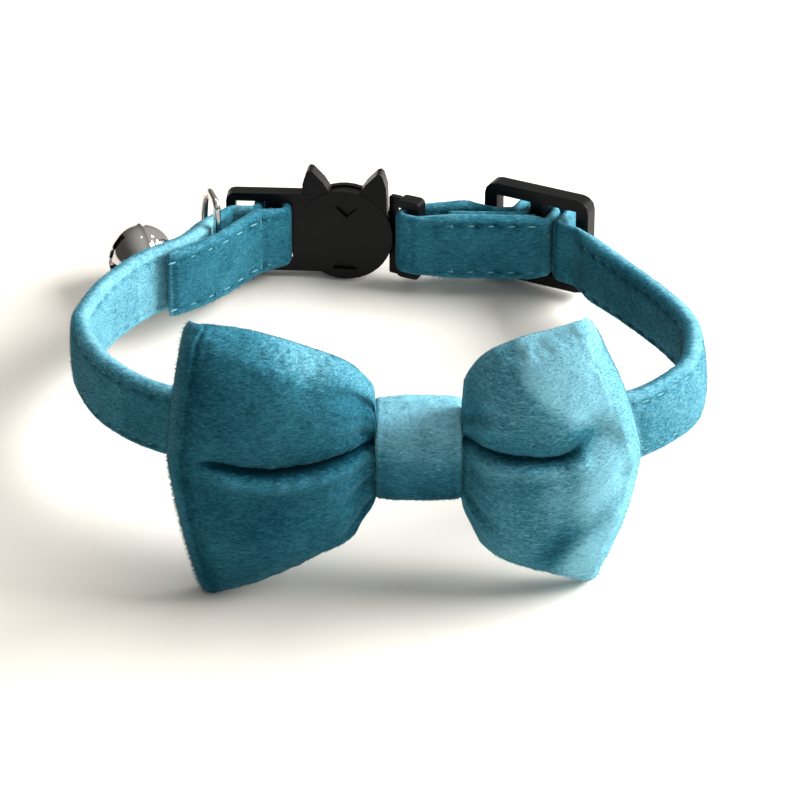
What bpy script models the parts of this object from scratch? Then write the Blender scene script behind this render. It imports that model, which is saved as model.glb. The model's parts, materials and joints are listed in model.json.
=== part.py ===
"""Pet bow tie collar: velvet strap and bow, breakaway buckle, slider, ring and bell.

Everything is shaped in the collar's own frame, where the loop lies level: X to the right,
Y to the back, Z along the strap's width. One empty then tips the loop forward and up, so that
the bow's lower corners and the back of the collar rest on the ground.
"""
import bpy
import bmesh
from math import acos, atan2, cos, degrees, exp, pi, radians, sin, sqrt, tan
from mathutils import Matrix, Vector

# Loop, measured on the strap's middle line
LOOP_WIDTH = 0.0913
LOOP_DEPTH = 0.0674

# Strap
STRAP_WIDTH = 0.0110
STRAP_THICKNESS = 0.0031
LAYER_THICKNESS = 0.0024
PINCHED_THICKNESS = 0.0016
PINCHED_WIDTH = 0.0101
STRAP_EDGE_RADIUS = 0.0013
LAYER_GAP = 0.0003
TURNED_END_LENGTH = 0.0195
TURNED_END_THICKNESS = 0.0021
SEWN_TAIL_LENGTH = 0.0115
SEWN_TAIL_THICKNESS = 0.0012
RIGHT_SIDE_LEAN = radians(8)

# Bow
WAIST_HEIGHT = 0.0114
WAIST_DEPTH = 0.0056
WING_HEIGHT = 0.0432
LEFT_WING_LENGTH = 0.0297
RIGHT_WING_LENGTH = 0.0255
WING_FRONT_BULGE = 0.0072
WING_BACK_BULGE = 0.0040
LEFT_EDGE_BOW = 0.0036
RIGHT_EDGE_BOW = 0.0066
LEFT_EDGE_LEAN = -0.0006
RIGHT_EDGE_LEAN = 0.0009
CREASE_DEPTH = 0.0040
CREASE_RISE = 0.0017
BOW_LIFT = 0.0019
BOW_SHIFT = 0.0047
LEFT_WING_FORWARD = 0.0045
RIGHT_WING_FORWARD = 0.0020

# Knot
KNOT_WIDTH = 0.0120
KNOT_WALL = 0.0010
KNOT_RAISE = 0.0006
KNOT_FRONT_RADIUS = 0.0044
KNOT_BACK_RADIUS = 0.0029

# Buckle
HEAD_DIAMETER = 0.0152
HEAD_THICKNESS = 0.0034
HEAD_GROOVE = 0.00025
BUCKLE_ARM_THICKNESS = 0.0023
BUCKLE_ARM_HEIGHT = 0.0134
LEFT_ARM_LENGTH = 0.0187
RIGHT_ARM_LENGTH = 0.0049
BUCKLE_BAR_WIDTH = 0.0020
END_BAR_WIDTH = 0.0015
EAR_HEIGHT = 0.0049
EAR_WIDTH = 0.0048
EAR_THICKNESS = 0.0026
HEAD_ANGLE = radians(-8)
LEFT_ARM_ANGLE = radians(-3)
RIGHT_ARM_ANGLE = radians(-26)

# Slider
SLIDER_LENGTH = 0.0178
SLIDER_HEIGHT = 0.0160
SLIDER_LIFT = 0.0007
SLIDER_THICKNESS = 0.0026
SLIDER_END_BAR = 0.0021
SLIDER_MIDDLE_BAR = 0.0020
SLIDER_CORNER = 0.0020
SLIDER_ANGLE = radians(-27)

# Ring and bell
D_RING_HEIGHT = 0.0178
D_RING_DEPTH = 0.0102
D_RING_WIRE = 0.0012
D_RING_STRAIGHT = 0.38
D_RING_TURN = radians(40)
JUMP_RING_DIAMETER = 0.0058
JUMP_RING_WIRE = 0.0007
BELL_DIAMETER = 0.0108
BELL_WALL = 0.0006
BELL_SLOT = 0.0013
BELL_EYE_DIAMETER = 0.0032
BELL_EYE_WIRE = 0.0008
BELL_TURN = radians(22)

CLEARANCE = 0.0003

HALF_WIDTH = LOOP_WIDTH / 2
HALF_DEPTH = LOOP_DEPTH / 2

# The strap's run round the neck, from the left of the buckle to the slider, as shares of
# HALF_WIDTH and HALF_DEPTH, with the share of the right side's lean
ROUTE_COLUMNS = ("x", "y", "lean")
ROUTE = (
    (-0.622, 0.758, 0.0),
    (-0.684, 0.608, 0.0),
    (-0.810, 0.452, 0.0),
    (-0.921, 0.214, 0.0),
    (-0.975, 0.006, 0.0),
    (-0.997, -0.160, 0.0),
    (-0.965, -0.345, 0.0),
    (-0.896, -0.552, 0.0),
    (-0.765, -0.748, 0.0),
    (-0.600, -0.868, 0.0),
    (-0.380, -0.950, 0.0),
    (-0.160, -0.990, 0.0),
    (0.088, -1.000, 0.0),
    (0.340, -0.990, 0.0),
    (0.590, -0.945, 0.0),
    (0.785, -0.850, 0.0),
    (0.914, -0.680, 0.2),
    (0.975, -0.540, 0.4),
    (1.000, -0.330, 0.7),
    (0.992, -0.150, 0.9),
    (0.922, 0.085, 1.0),
    (0.803, 0.365, 1.0),
    (0.700, 0.585, 0.5),
)

# Places of the hardware's middles, as shares of HALF_WIDTH and HALF_DEPTH
HEAD_PLACE = (-0.142, 0.990)
SLIDER_PLACE = (0.520, 0.905)

# Both wings, from the waist to the outer fold. along is a share of the wing's length, left and
# right of half the wing's height, front and back of the bulges, crease of the crease's depth
WING_COLUMNS = ("along", "left", "right", "front", "back", "crease")
WINGS = (
    (0.050, 0.480, 0.560, 0.48, 0.70, 0.40),
    (0.110, 0.600, 0.670, 0.70, 0.90, 0.75),
    (0.200, 0.690, 0.750, 0.90, 1.00, 1.00),
    (0.340, 0.770, 0.805, 1.00, 1.00, 1.00),
    (0.500, 0.855, 0.855, 0.99, 1.00, 0.90),
    (0.660, 0.930, 0.900, 0.90, 0.95, 0.60),
    (0.800, 0.975, 0.940, 0.74, 0.85, 0.25),
    (0.910, 1.000, 0.968, 0.54, 0.72, 0.05),
    (0.975, 1.004, 0.978, 0.38, 0.58, 0.00),
    (1.000, 0.998, 0.972, 0.16, 0.30, 0.00),
)
# Heights of a wing section's rows, from its top to its bottom, as shares of its half height
SECTION_ROWS = (1.0, 0.95, 0.85, 0.68, 0.48, 0.31, 0.18, 0.08, -0.03, -0.18, -0.40, -0.64, -0.84, -0.95, -1.0)
CREASE_SPREAD = 0.10
SECTION_FULLNESS = 2.4


def named(columns, rows):
    """Turns a table into rows whose values are read by their column's name."""
    return [dict(zip(columns, row)) for row in rows]


def clear_scene():
    for thing in list(bpy.data.objects):
        bpy.data.objects.remove(thing, do_unlink=True)


def make_collection(name, parent):
    collection = bpy.data.collections.new(name)
    parent.children.link(collection)
    return collection


def make_material(name, colour, roughness, metallic=0.0):
    material = bpy.data.materials.new(name)
    material.use_nodes = True
    shader = material.node_tree.nodes["Principled BSDF"]
    shader.inputs["Base Color"].default_value = (*colour, 1.0)
    shader.inputs["Roughness"].default_value = roughness
    shader.inputs["Metallic"].default_value = metallic
    material.diffuse_color = (*colour, 1.0)
    return material


class Plan:
    """A place on the loop's plane, with u along a piece and v out of the loop."""

    def __init__(self, x, y, angle):
        self.x, self.y, self.angle = x, y, angle

    def point(self, u, v):
        c, s = cos(self.angle), sin(self.angle)
        return Vector((self.x + u * c - v * s, self.y + u * s + v * c))

    def matrix(self):
        """Maps a piece drawn with x along it, y out of the loop and z up."""
        return Matrix.Translation((self.x, self.y, 0)) @ Matrix.Rotation(self.angle, 4, "Z")


HEAD = Plan(HEAD_PLACE[0] * HALF_WIDTH, HEAD_PLACE[1] * HALF_DEPTH, HEAD_ANGLE)
LEFT_ARM = Plan(HEAD.x, HEAD.y, LEFT_ARM_ANGLE)
RIGHT_ARM = Plan(*HEAD.point(HEAD_DIAMETER / 2, 0), RIGHT_ARM_ANGLE)
SLIDER = Plan(SLIDER_PLACE[0] * HALF_WIDTH, SLIDER_PLACE[1] * HALF_DEPTH, SLIDER_ANGLE)

HEAD_PLATE = (HEAD_THICKNESS - 2 * HEAD_GROOVE) / 3
PINCHED_OFFSET = LAYER_GAP + PINCHED_THICKNESS / 2
PINCHED_PITCH = LAYER_GAP + PINCHED_THICKNESS

# Bars of the buckle, at their middles along each arm
LEFT_FOLD = LEFT_ARM_LENGTH * 0.505
LEFT_BAR = -(LEFT_FOLD + PINCHED_OFFSET + BUCKLE_BAR_WIDTH / 2)
LEFT_SLOT = LEFT_BAR - BUCKLE_BAR_WIDTH / 2 - PINCHED_OFFSET
RIGHT_BAR = RIGHT_ARM_LENGTH - BUCKLE_BAR_WIDTH / 2
RIGHT_FOLD = RIGHT_BAR - BUCKLE_BAR_WIDTH / 2 - PINCHED_OFFSET
ARM_SIDE = BUCKLE_ARM_THICKNESS / 2 + LAYER_GAP

# The front of the collar, where the knot holds the bow against the strap
STRAP_FRONT = -HALF_DEPTH - STRAP_THICKNESS / 2
STRAP_BACK = -HALF_DEPTH + STRAP_THICKNESS / 2
WAIST_BACK = STRAP_FRONT - CLEARANCE
WAIST_MIDDLE = WAIST_BACK - WAIST_DEPTH / 2
KNOT_FRONT = WAIST_BACK - WAIST_DEPTH - CLEARANCE - KNOT_WALL
KNOT_BACK = STRAP_BACK + CLEARANCE + KNOT_WALL
KNOT_HEIGHT = STRAP_WIDTH + 2 * (CLEARANCE + KNOT_WALL) + KNOT_RAISE

# How far the loop tips, from the bow's lower corners to the head's lowest point
BOW_LOWEST = BOW_LIFT - WING_HEIGHT / 2
BOW_EDGE_FRONT = WAIST_BACK - WING_BACK_BULGE / 2 - LEFT_WING_FORWARD
TILT = atan2(-HEAD_DIAMETER / 2 - BOW_LOWEST, HEAD.y - BOW_EDGE_FRONT)


def ground(y):
    """Height of the ground in the collar's frame, at a place from front to back."""
    return BOW_LOWEST + (y - BOW_EDGE_FRONT) * tan(TILT)


def smooth_points(points, steps):
    """Points on a Catmull-Rom curve through the given tuples."""
    ends = [points[0], *points, points[-1]]
    made = []
    for a, b, c, d in zip(ends, ends[1:], ends[2:], ends[3:]):
        for i in range(steps):
            t = i / steps
            made.append(tuple(
                0.5 * (2 * q + (r - p) * t + (2 * p - 5 * q + 4 * r - s) * t**2
                       + (3 * q - p - 3 * r + s) * t**3)
                for p, q, r, s in zip(a, b, c, d)
            ))
    return [*made, points[-1]]


def stop(place, thickness, width=STRAP_WIDTH, bend=0.0, lean=0.0):
    """One stop of a strap's path: its corner is rounded to the bend's radius."""
    return {"at": Vector(place), "thickness": thickness, "width": width, "bend": bend, "lean": lean}


def rounded_path(stops, turn=radians(24), longest=STRAP_WIDTH / 3):
    """Samples along straight runs and rounded corners between the stops."""
    samples = [stops[0]]
    for before, here, after in zip(stops, stops[1:], stops[2:]):
        way_in = here["at"] - before["at"]
        way_out = after["at"] - here["at"]
        angle = way_in.angle_signed(way_out) if way_in.length and way_out.length else 0.0
        if here["bend"] == 0 or abs(angle) < radians(4):
            samples.append(here)
            continue
        reach = min(here["bend"] * tan(abs(angle) / 2), 0.49 * way_in.length, 0.49 * way_out.length)
        radius = reach / tan(abs(angle) / 2)
        start = here["at"] - way_in.normalized() * reach
        side = Vector((-way_in.y, way_in.x)).normalized() * (-1 if angle > 0 else 1)
        centre = start + side * radius
        count = max(2, round(abs(angle) / turn) + 1)
        for i in range(count):
            spin = Matrix.Rotation(-angle * i / (count - 1), 2)
            samples.append({**here, "at": centre + spin @ (start - centre)})
    samples.append(stops[-1])
    filled = [samples[0]]
    for one, two in zip(samples, samples[1:]):
        gap = (two["at"] - one["at"]).length
        if gap < 1e-5:
            continue
        parts = max(1, round(gap / longest))
        for i in range(1, parts + 1):
            t = i / parts
            mixed = {key: one[key] + (two[key] - one[key]) * t for key in one}
            filled.append(mixed)
    return filled


def meeting(start, way, other, other_way):
    """Where two lines in the loop's plane cross."""
    gap = other - start
    along = (gap.x * other_way.y - gap.y * other_way.x) / (way.x * other_way.y - way.y * other_way.x)
    return start + way * along


def band_section(thickness, width, radius):
    """Outline of the strap's cross-section: across its thickness, along its width."""
    radius = min(radius, 0.48 * thickness)
    points = []
    for corner in range(4):
        side = 1 if corner in (0, 3) else -1
        rise = 1 if corner in (0, 1) else -1
        for i in range(3):
            angle = (corner + i / 2) * pi / 2
            points.append((
                side * (thickness / 2 - radius) + radius * cos(angle),
                rise * (width / 2 - radius) + radius * sin(angle),
            ))
    return points


def skin_rings(name, rings, closed=False):
    """A mesh through rings of points, as many in each, with its ends capped or joined."""
    mesh = bmesh.new()
    loops = [[mesh.verts.new(point) for point in ring] for ring in rings]
    count = len(loops[0])
    pairs = list(zip(loops, loops[1:]))
    if closed:
        pairs.append((loops[-1], loops[0]))
    for one, two in pairs:
        for i in range(count):
            mesh.faces.new((one[i], one[(i + 1) % count], two[(i + 1) % count], two[i]))
    if not closed:
        mesh.faces.new(reversed(loops[0]))
        mesh.faces.new(loops[-1])
    return finish_mesh(name, mesh)


def finish_mesh(name, mesh):
    bmesh.ops.recalc_face_normals(mesh, faces=mesh.faces)
    data = bpy.data.meshes.new(name)
    mesh.to_mesh(data)
    mesh.free()
    made = bpy.data.objects.new(name, data)
    parts.objects.link(made)
    return made


def sweep_band(name, samples):
    """The strap's solid along its samples."""
    rings = []
    for i, sample in enumerate(samples):
        ahead = samples[min(i + 1, len(samples) - 1)]["at"]
        behind = samples[max(i - 1, 0)]["at"]
        along = (ahead - behind).normalized()
        across = Vector((along.y, -along.x, 0))
        lean = sample["lean"]
        outward = across * cos(lean) - Vector((0, 0, sin(lean)))
        upward = Vector((0, 0, cos(lean))) + across * sin(lean)
        centre = Vector((*sample["at"], 0))
        section = band_section(sample["thickness"], sample["width"], STRAP_EDGE_RADIUS)
        rings.append([centre + outward * a + upward * b for a, b in section])
    return skin_rings(name, rings)


def strap_stops():
    """The whole strap, from the sewn tail at the slider to the turned-back end at the left."""
    pinch = {"thickness": PINCHED_THICKNESS, "width": PINCHED_WIDTH}
    layer = {"thickness": LAYER_THICKNESS, "width": PINCHED_WIDTH}
    bend = PINCHED_THICKNESS * 0.75
    wrap_u = SLIDER_MIDDLE_BAR / 2 + PINCHED_OFFSET
    wrap_v = SLIDER_THICKNESS / 2 + PINCHED_OFFSET
    weave_u = wrap_u + PINCHED_PITCH
    weave_v = wrap_v + PINCHED_PITCH
    end_bar = SLIDER_LENGTH / 2 - SLIDER_END_BAR / 2
    bar_side = ARM_SIDE + PINCHED_THICKNESS / 2
    buckle_near = RIGHT_ARM.point(RIGHT_ARM_LENGTH, -bar_side)
    near_right = SLIDER.point(wrap_u * 0.4, -wrap_v - (LAYER_THICKNESS - PINCHED_THICKNESS) / 2)
    near_way = (near_right - buckle_near).normalized()
    near_out = Vector((-near_way.y, near_way.x))
    tail_offset = (LAYER_THICKNESS + SEWN_TAIL_THICKNESS) / 2 + LAYER_GAP
    tail_line = near_right + near_out * tail_offset
    slot_line = SLIDER.point(-wrap_u, 0)
    slot_way = SLIDER.point(-wrap_u, 1) - slot_line
    tail_turn = meeting(tail_line, near_way, slot_line, slot_way)
    tail = {"thickness": SEWN_TAIL_THICKNESS, "width": PINCHED_WIDTH}
    sewn = [
        stop(tail_turn - near_way * SEWN_TAIL_LENGTH, **tail),
        stop(tail_turn - near_way * SEWN_TAIL_THICKNESS, **tail),
        stop(tail_turn, **tail, bend=bend),
        stop(SLIDER.point(-wrap_u, wrap_v), **pinch, bend=bend),
        stop(SLIDER.point(wrap_u, wrap_v), **pinch, bend=bend),
        stop(SLIDER.point(wrap_u, -wrap_v), **pinch, bend=bend),
        stop(near_right, **layer, bend=bend),
        stop(buckle_near.lerp(near_right, 0.3), **layer, bend=bend),
        stop(buckle_near, **pinch, bend=2 * bend),
        stop(RIGHT_ARM.point(RIGHT_FOLD, -bar_side), **pinch, bend=bend),
        stop(RIGHT_ARM.point(RIGHT_FOLD, bar_side), **pinch, bend=bend),
        stop(RIGHT_ARM.point(RIGHT_BAR, bar_side), **pinch, bend=bend),
    ]
    thin = {"thickness": PINCHED_THICKNESS * 0.8, "width": PINCHED_WIDTH}
    thin_v = -SLIDER_THICKNESS / 2 - LAYER_GAP * 1.3 - PINCHED_THICKNESS * 0.4
    tail_top = tail_turn + near_out * (SEWN_TAIL_THICKNESS + PINCHED_THICKNESS + 2 * LAYER_GAP) / 2
    weave_line = SLIDER.point(-weave_u, 0)
    weave_foot = meeting(tail_top, near_way, weave_line, slot_way)
    far_right = SLIDER.point(-end_bar - SLIDER_END_BAR * 1.6, thin_v - LAYER_THICKNESS * 0.25)
    weave = [
        stop(far_right, **layer, bend=bend),
        stop(SLIDER.point(-end_bar - SLIDER_END_BAR * 0.7, thin_v), **thin, bend=bend),
        stop(SLIDER.point(-end_bar + SLIDER_END_BAR * 0.6, thin_v), **thin, bend=bend),
        stop(weave_foot, **thin, bend=bend),
        stop(SLIDER.point(-weave_u, weave_v), **pinch, bend=bend),
        stop(SLIDER.point(weave_u, weave_v), **pinch, bend=bend),
        stop(SLIDER.point(weave_u, -wrap_v), **pinch, bend=bend),
        stop(SLIDER.point(end_bar, -wrap_v - PINCHED_THICKNESS * 0.35), **pinch, bend=bend),
    ]
    columns = [(row["x"] * HALF_WIDTH, row["y"] * HALF_DEPTH, row["lean"]) for row in named(ROUTE_COLUMNS, ROUTE)]
    run = [
        stop((x, y), STRAP_THICKNESS, lean=lean * RIGHT_SIDE_LEAN)
        for x, y, lean in reversed(smooth_points(columns, 2))
    ]
    left_end = LEFT_ARM.point(-LEFT_ARM_LENGTH + END_BAR_WIDTH / 2, -ARM_SIDE - PINCHED_THICKNESS / 2)
    flap_v = ARM_SIDE + PINCHED_PITCH + LAYER_THICKNESS / 2
    fold = [
        stop(left_end, **pinch, bend=bend),
        stop(LEFT_ARM.point(LEFT_SLOT, -ARM_SIDE - PINCHED_THICKNESS / 2), **pinch, bend=bend),
        stop(LEFT_ARM.point(LEFT_SLOT, ARM_SIDE + PINCHED_THICKNESS / 2), **pinch, bend=bend),
        stop(LEFT_ARM.point(-LEFT_FOLD, ARM_SIDE + PINCHED_THICKNESS / 2), **pinch, bend=bend),
        stop(LEFT_ARM.point(-LEFT_FOLD, -ARM_SIDE - LAYER_THICKNESS / 2), **pinch, bend=bend),
        stop(LEFT_ARM.point(LEFT_SLOT, -flap_v), **layer, bend=2 * bend),
    ]
    return sewn + weave + run + fold + turned_end(fold[-1]["at"], run, left_end)


def turned_end(start, run, left_end):
    """The strap's turned-back end, which lies along the inside of its outer layer."""
    outer = [left_end, *[one["at"] for one in reversed(run)]]
    apart = STRAP_THICKNESS / 2 + LAYER_GAP + TURNED_END_THICKNESS / 2
    tab_room = D_RING_WIRE + LAYER_GAP
    made, gone = [], 0.0
    for before, here, after in zip(outer, outer[1:], outer[2:]):
        gone += (here - before).length
        if gone > TURNED_END_LENGTH:
            break
        way = (after - before).normalized()
        inward = Vector((-way.y, way.x))
        from_ring = (here - run[-1]["at"]).length
        room = tab_room * exp(-(from_ring / (3.6 * D_RING_WIRE)) ** 2)
        place = here + inward * (apart + room)
        if (place - start).length > 2 * TURNED_END_THICKNESS:
            made.append(stop(place, TURNED_END_THICKNESS))
    return made


def make_strap():
    strap = sweep_band("strap", rounded_path(strap_stops()))
    dress(strap, velvet)
    return strap


def half_section(row, side):
    """Depths of a wing section's rows on its front or its back, at shares of its height."""
    bulge = WING_FRONT_BULGE * row["front"] if side < 0 else WING_BACK_BULGE * row["back"]
    depths = []
    for share in SECTION_ROWS:
        round_off = (1 - abs(share) ** SECTION_FULLNESS) ** (1 / SECTION_FULLNESS) if abs(share) < 1 else 0
        depth = bulge * round_off
        if side < 0:
            away = share - 2 * CREASE_RISE / WING_HEIGHT
            depth -= CREASE_DEPTH * row["crease"] * exp(-(away / CREASE_SPREAD) ** 2)
        depths.append(depth)
    return depths


def wing_rings(side, length, forward, edge_bow, edge_lean):
    """Rings of a wing from its waist to its outer fold; side is -1 on the left, 1 on the right."""
    rings = []
    for row in named(WING_COLUMNS, WINGS):
        half = row["left" if side < 0 else "right"] * WING_HEIGHT / 2
        lift = KNOT_RAISE / 2 + (BOW_LIFT - KNOT_RAISE / 2) * min(1.0, row["along"] / 0.3)
        middle = WAIST_BACK - WING_BACK_BULGE * row["back"] - forward * row["along"] ** 2
        front, back = half_section(row, -1), half_section(row, 1)
        ring = []
        for share, depth in zip(SECTION_ROWS, front):
            edge = length - edge_bow * share**2 - edge_lean * share
            x = BOW_SHIFT + side * (KNOT_WIDTH / 2 + (edge if row["along"] > 0.2 else length) * row["along"])
            ring.append(Vector((x, middle - depth, lift + share * half)))
        for share, depth in reversed(list(zip(SECTION_ROWS, back))[1:-1]):
            edge = length - edge_bow * share**2 - edge_lean * share
            x = BOW_SHIFT + side * (KNOT_WIDTH / 2 + (edge if row["along"] > 0.2 else length) * row["along"])
            ring.append(Vector((x, middle + depth, lift + share * half)))
        rings.append(ring)
    return rings


def waist_ring(x):
    """One ring of the pinched waist, inside the knot."""
    ring = []
    for side in (-1, 1):
        rows = SECTION_ROWS if side < 0 else reversed(SECTION_ROWS[1:-1])
        for share in rows:
            round_off = (1 - abs(share) ** 2.4) ** (1 / 2.4) if abs(share) < 1 else 0
            depth = side * WAIST_DEPTH / 2 * round_off
            ring.append(Vector((x, WAIST_MIDDLE + depth, KNOT_RAISE / 2 + share * WAIST_HEIGHT / 2)))
    return ring


def make_bow():
    left = wing_rings(-1, LEFT_WING_LENGTH, LEFT_WING_FORWARD, LEFT_EDGE_BOW, LEFT_EDGE_LEAN)
    right = wing_rings(1, RIGHT_WING_LENGTH, RIGHT_WING_FORWARD, RIGHT_EDGE_BOW, RIGHT_EDGE_LEAN)
    waist = [waist_ring(BOW_SHIFT + share * KNOT_WIDTH / 2) for share in (-1.05, -0.95, 0.95, 1.05)]
    bow = skin_rings("bow", [*reversed(left), *waist, *right])
    soften = bow.modifiers.new("rounding", "SUBSURF")
    soften.levels = 1
    soften.render_levels = 1
    dress(bow, velvet)
    return bow


def rounded_box_outline(front, back, low, high, front_radius, back_radius, steps=5):
    """Outline in Y and Z of a rounded rectangle, with its own radius at the front and the back."""
    corners = (
        (back - back_radius, high - back_radius, back_radius, 0),
        (front + front_radius, high - front_radius, front_radius, 1),
        (front + front_radius, low + front_radius, front_radius, 2),
        (back - back_radius, low + back_radius, back_radius, 3),
    )
    points = []
    for y, z, radius, quarter in corners:
        for i in range(steps):
            angle = (quarter + i / (steps - 1)) * pi / 2
            points.append((y + radius * cos(angle), z + radius * sin(angle)))
    return points


def make_knot():
    low = -STRAP_WIDTH / 2 - CLEARANCE - KNOT_WALL
    high = low + KNOT_HEIGHT
    outer = rounded_box_outline(KNOT_FRONT, KNOT_BACK, low, high, KNOT_FRONT_RADIUS, KNOT_BACK_RADIUS)
    inner = rounded_box_outline(
        KNOT_FRONT + KNOT_WALL, KNOT_BACK - KNOT_WALL, low + KNOT_WALL, high - KNOT_WALL,
        KNOT_FRONT_RADIUS - KNOT_WALL, KNOT_BACK_RADIUS - KNOT_WALL,
    )
    left, right = BOW_SHIFT - KNOT_WIDTH / 2, BOW_SHIFT + KNOT_WIDTH / 2
    ease = KNOT_WALL * 0.35
    rings = [
        [Vector((left, y, z)) for y, z in inner],
        [Vector((left, y, z)) for y, z in inset(outer, ease)],
        [Vector((left + ease, y, z)) for y, z in outer],
        [Vector((right - ease, y, z)) for y, z in outer],
        [Vector((right, y, z)) for y, z in inset(outer, ease)],
        [Vector((right, y, z)) for y, z in inner],
    ]
    knot = skin_rings("knot", rings, closed=True)
    dress(knot, velvet)
    return knot


def inset(outline, amount):
    """An outline drawn in towards its middle by about the amount."""
    middle = [sum(values) / len(outline) for values in zip(*outline)]
    made = []
    for y, z in outline:
        reach = sqrt((y - middle[0]) ** 2 + (z - middle[1]) ** 2)
        share = 1 - amount / reach
        made.append((middle[0] + (y - middle[0]) * share, middle[1] + (z - middle[1]) * share))
    return made


def add_box(name, frame, u, v, z, collection=None):
    """A box from low to high along a frame's u, v and up."""
    mesh = bmesh.new()
    bmesh.ops.create_cube(mesh, size=1)
    size = Vector((u[1] - u[0], v[1] - v[0], z[1] - z[0]))
    middle = Vector((u[0] + u[1], v[0] + v[1], z[0] + z[1])) / 2
    shape = Matrix.Translation(middle) @ Matrix.Diagonal((*size, 1))
    bmesh.ops.transform(mesh, matrix=frame.matrix() @ shape, verts=mesh.verts)
    return place_mesh(name, mesh, collection)


def add_disc(name, frame, radius, v, sides=40, collection=None):
    """A round plate whose axis points out of the loop."""
    mesh = bmesh.new()
    bmesh.ops.create_cone(
        mesh, cap_ends=True, segments=sides, radius1=radius, radius2=radius, depth=v[1] - v[0]
    )
    turn = Matrix.Rotation(pi / 2, 4, "X")
    shift = Matrix.Translation((0, (v[0] + v[1]) / 2, 0))
    bmesh.ops.transform(mesh, matrix=frame.matrix() @ shift @ turn, verts=mesh.verts)
    return place_mesh(name, mesh, collection)


def add_prism(name, frame, outline, v, collection=None):
    """A plate of the given outline in u and z, from one v to the other."""
    mesh = bmesh.new()
    face = mesh.faces.new([mesh.verts.new((u, v[0], z)) for u, z in outline])
    grown = bmesh.ops.extrude_face_region(mesh, geom=[face])
    moved = [thing for thing in grown["geom"] if isinstance(thing, bmesh.types.BMVert)]
    bmesh.ops.translate(mesh, vec=(0, v[1] - v[0], 0), verts=moved)
    bmesh.ops.transform(mesh, matrix=frame.matrix(), verts=mesh.verts)
    bmesh.ops.recalc_face_normals(mesh, faces=mesh.faces)
    return place_mesh(name, mesh, collection)


def place_mesh(name, mesh, collection):
    data = bpy.data.meshes.new(name)
    mesh.to_mesh(data)
    mesh.free()
    made = bpy.data.objects.new(name, data)
    (collection or parts).objects.link(made)
    if collection:
        made.hide_render = True
        made.display_type = "WIRE"
    return made


def combine(target, tool, operation):
    cut = target.modifiers.new(tool.name, "BOOLEAN")
    cut.operation = operation
    cut.solver = "EXACT"
    cut.object = tool


def rounded_rectangle(left, right, low, high, radius, steps=4):
    """Corner-rounded outline in u and z, anticlockwise."""
    corners = (
        (right - radius, high - radius, 0), (left + radius, high - radius, 1),
        (left + radius, low + radius, 2), (right - radius, low + radius, 3),
    )
    points = []
    for u, z, quarter in corners:
        for i in range(steps):
            angle = (quarter + i / (steps - 1)) * pi / 2
            points.append((u + radius * cos(angle), z + radius * sin(angle)))
    return points


def disc_part(radius, left, steps=32):
    """Outline in u and z of the part of a disc that lies right of a line."""
    reach = acos(left / radius)
    return [
        (radius * cos(reach * (2 * i / steps - 1)), radius * sin(reach * (2 * i / steps - 1)))
        for i in range(steps + 1)
    ]


def ear_outline(side):
    """A pointed ear on the head's rim: steep outside, slanting inside, with a rounded tip."""
    radius = HEAD_DIAMETER / 2
    foot_out, foot_in = side * radius * 0.88, side * (radius * 0.88 - EAR_WIDTH)
    tip = side * (radius * 0.88 - EAR_WIDTH * 0.26)
    low = radius * 0.40
    base_in = radius * 0.86
    top = radius * 0.92 + EAR_HEIGHT * 0.78
    return [
        (foot_out, low),
        (foot_in, low),
        (foot_in, base_in),
        (foot_in + (tip - foot_in) * 0.42, base_in + (top - base_in) * 0.55),
        (tip - side * EAR_WIDTH * 0.08, top - EAR_HEIGHT * 0.03),
        (tip + side * EAR_WIDTH * 0.04, top),
        (tip + side * EAR_WIDTH * 0.12, top - EAR_HEIGHT * 0.08),
        (foot_out - side * EAR_WIDTH * 0.02, base_in + (top - base_in) * 0.45),
        (foot_out, radius * 0.70),
    ]


def make_socket():
    radius = HEAD_DIAMETER / 2
    half = HEAD_THICKNESS / 2
    socket = add_disc("buckle_socket", HEAD, radius, (-half, half))
    frame_half = BUCKLE_ARM_THICKNESS / 2
    high = BUCKLE_ARM_HEIGHT / 2
    slot_high = PINCHED_WIDTH / 2 + CLEARANCE
    frame = add_prism(
        "socket_frame", LEFT_ARM,
        rounded_rectangle(-LEFT_ARM_LENGTH, -radius * 0.35, -high, high, BUCKLE_ARM_HEIGHT * 0.1),
        (-frame_half, frame_half), collection=helpers,
    )
    combine(socket, frame, "UNION")
    for name, side in (("ear_left", -1), ("ear_right", 1)):
        depth = (-half + HEAD_GROOVE / 2, EAR_THICKNESS - half)
        combine(socket, add_prism(name, HEAD, ear_outline(side), depth, collection=helpers), "UNION")
    through = (-half * 2, half * 2)
    notch = (-half * 2, -half + HEAD_PLATE * 0.6)
    upper = [(-radius * 0.20, radius * 0.66), (radius * 0.04, radius * 0.40), (radius * 0.28, radius * 0.62)]
    lower = [
        (-radius * 0.26, -radius * 0.78), (radius * 0.26, -radius * 0.78),
        (radius * 0.14, -radius * 0.58), (-radius * 0.14, -radius * 0.58),
    ]
    cuts = [
        add_prism(
            "tongue_room", HEAD, disc_part(radius + HEAD_GROOVE / 2, -0.30 * radius),
            (-half + HEAD_PLATE, half - HEAD_PLATE), collection=helpers,
        ),
        add_box(
            "left_slots", LEFT_ARM, (-LEFT_ARM_LENGTH + END_BAR_WIDTH, LEFT_BAR - BUCKLE_BAR_WIDTH / 2),
            through, (-slot_high, slot_high), helpers,
        ),
        add_box(
            "right_slots", LEFT_ARM, (LEFT_BAR + BUCKLE_BAR_WIDTH / 2, -LEFT_FOLD + PINCHED_OFFSET),
            through, (-slot_high, slot_high), helpers,
        ),
        add_prism("upper_notch", HEAD, upper, notch, collection=helpers),
        add_prism("lower_notch", HEAD, lower, notch, collection=helpers),
    ]
    for cut in cuts:
        combine(socket, cut, "DIFFERENCE")
    dress(socket, plastic)
    return socket


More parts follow.
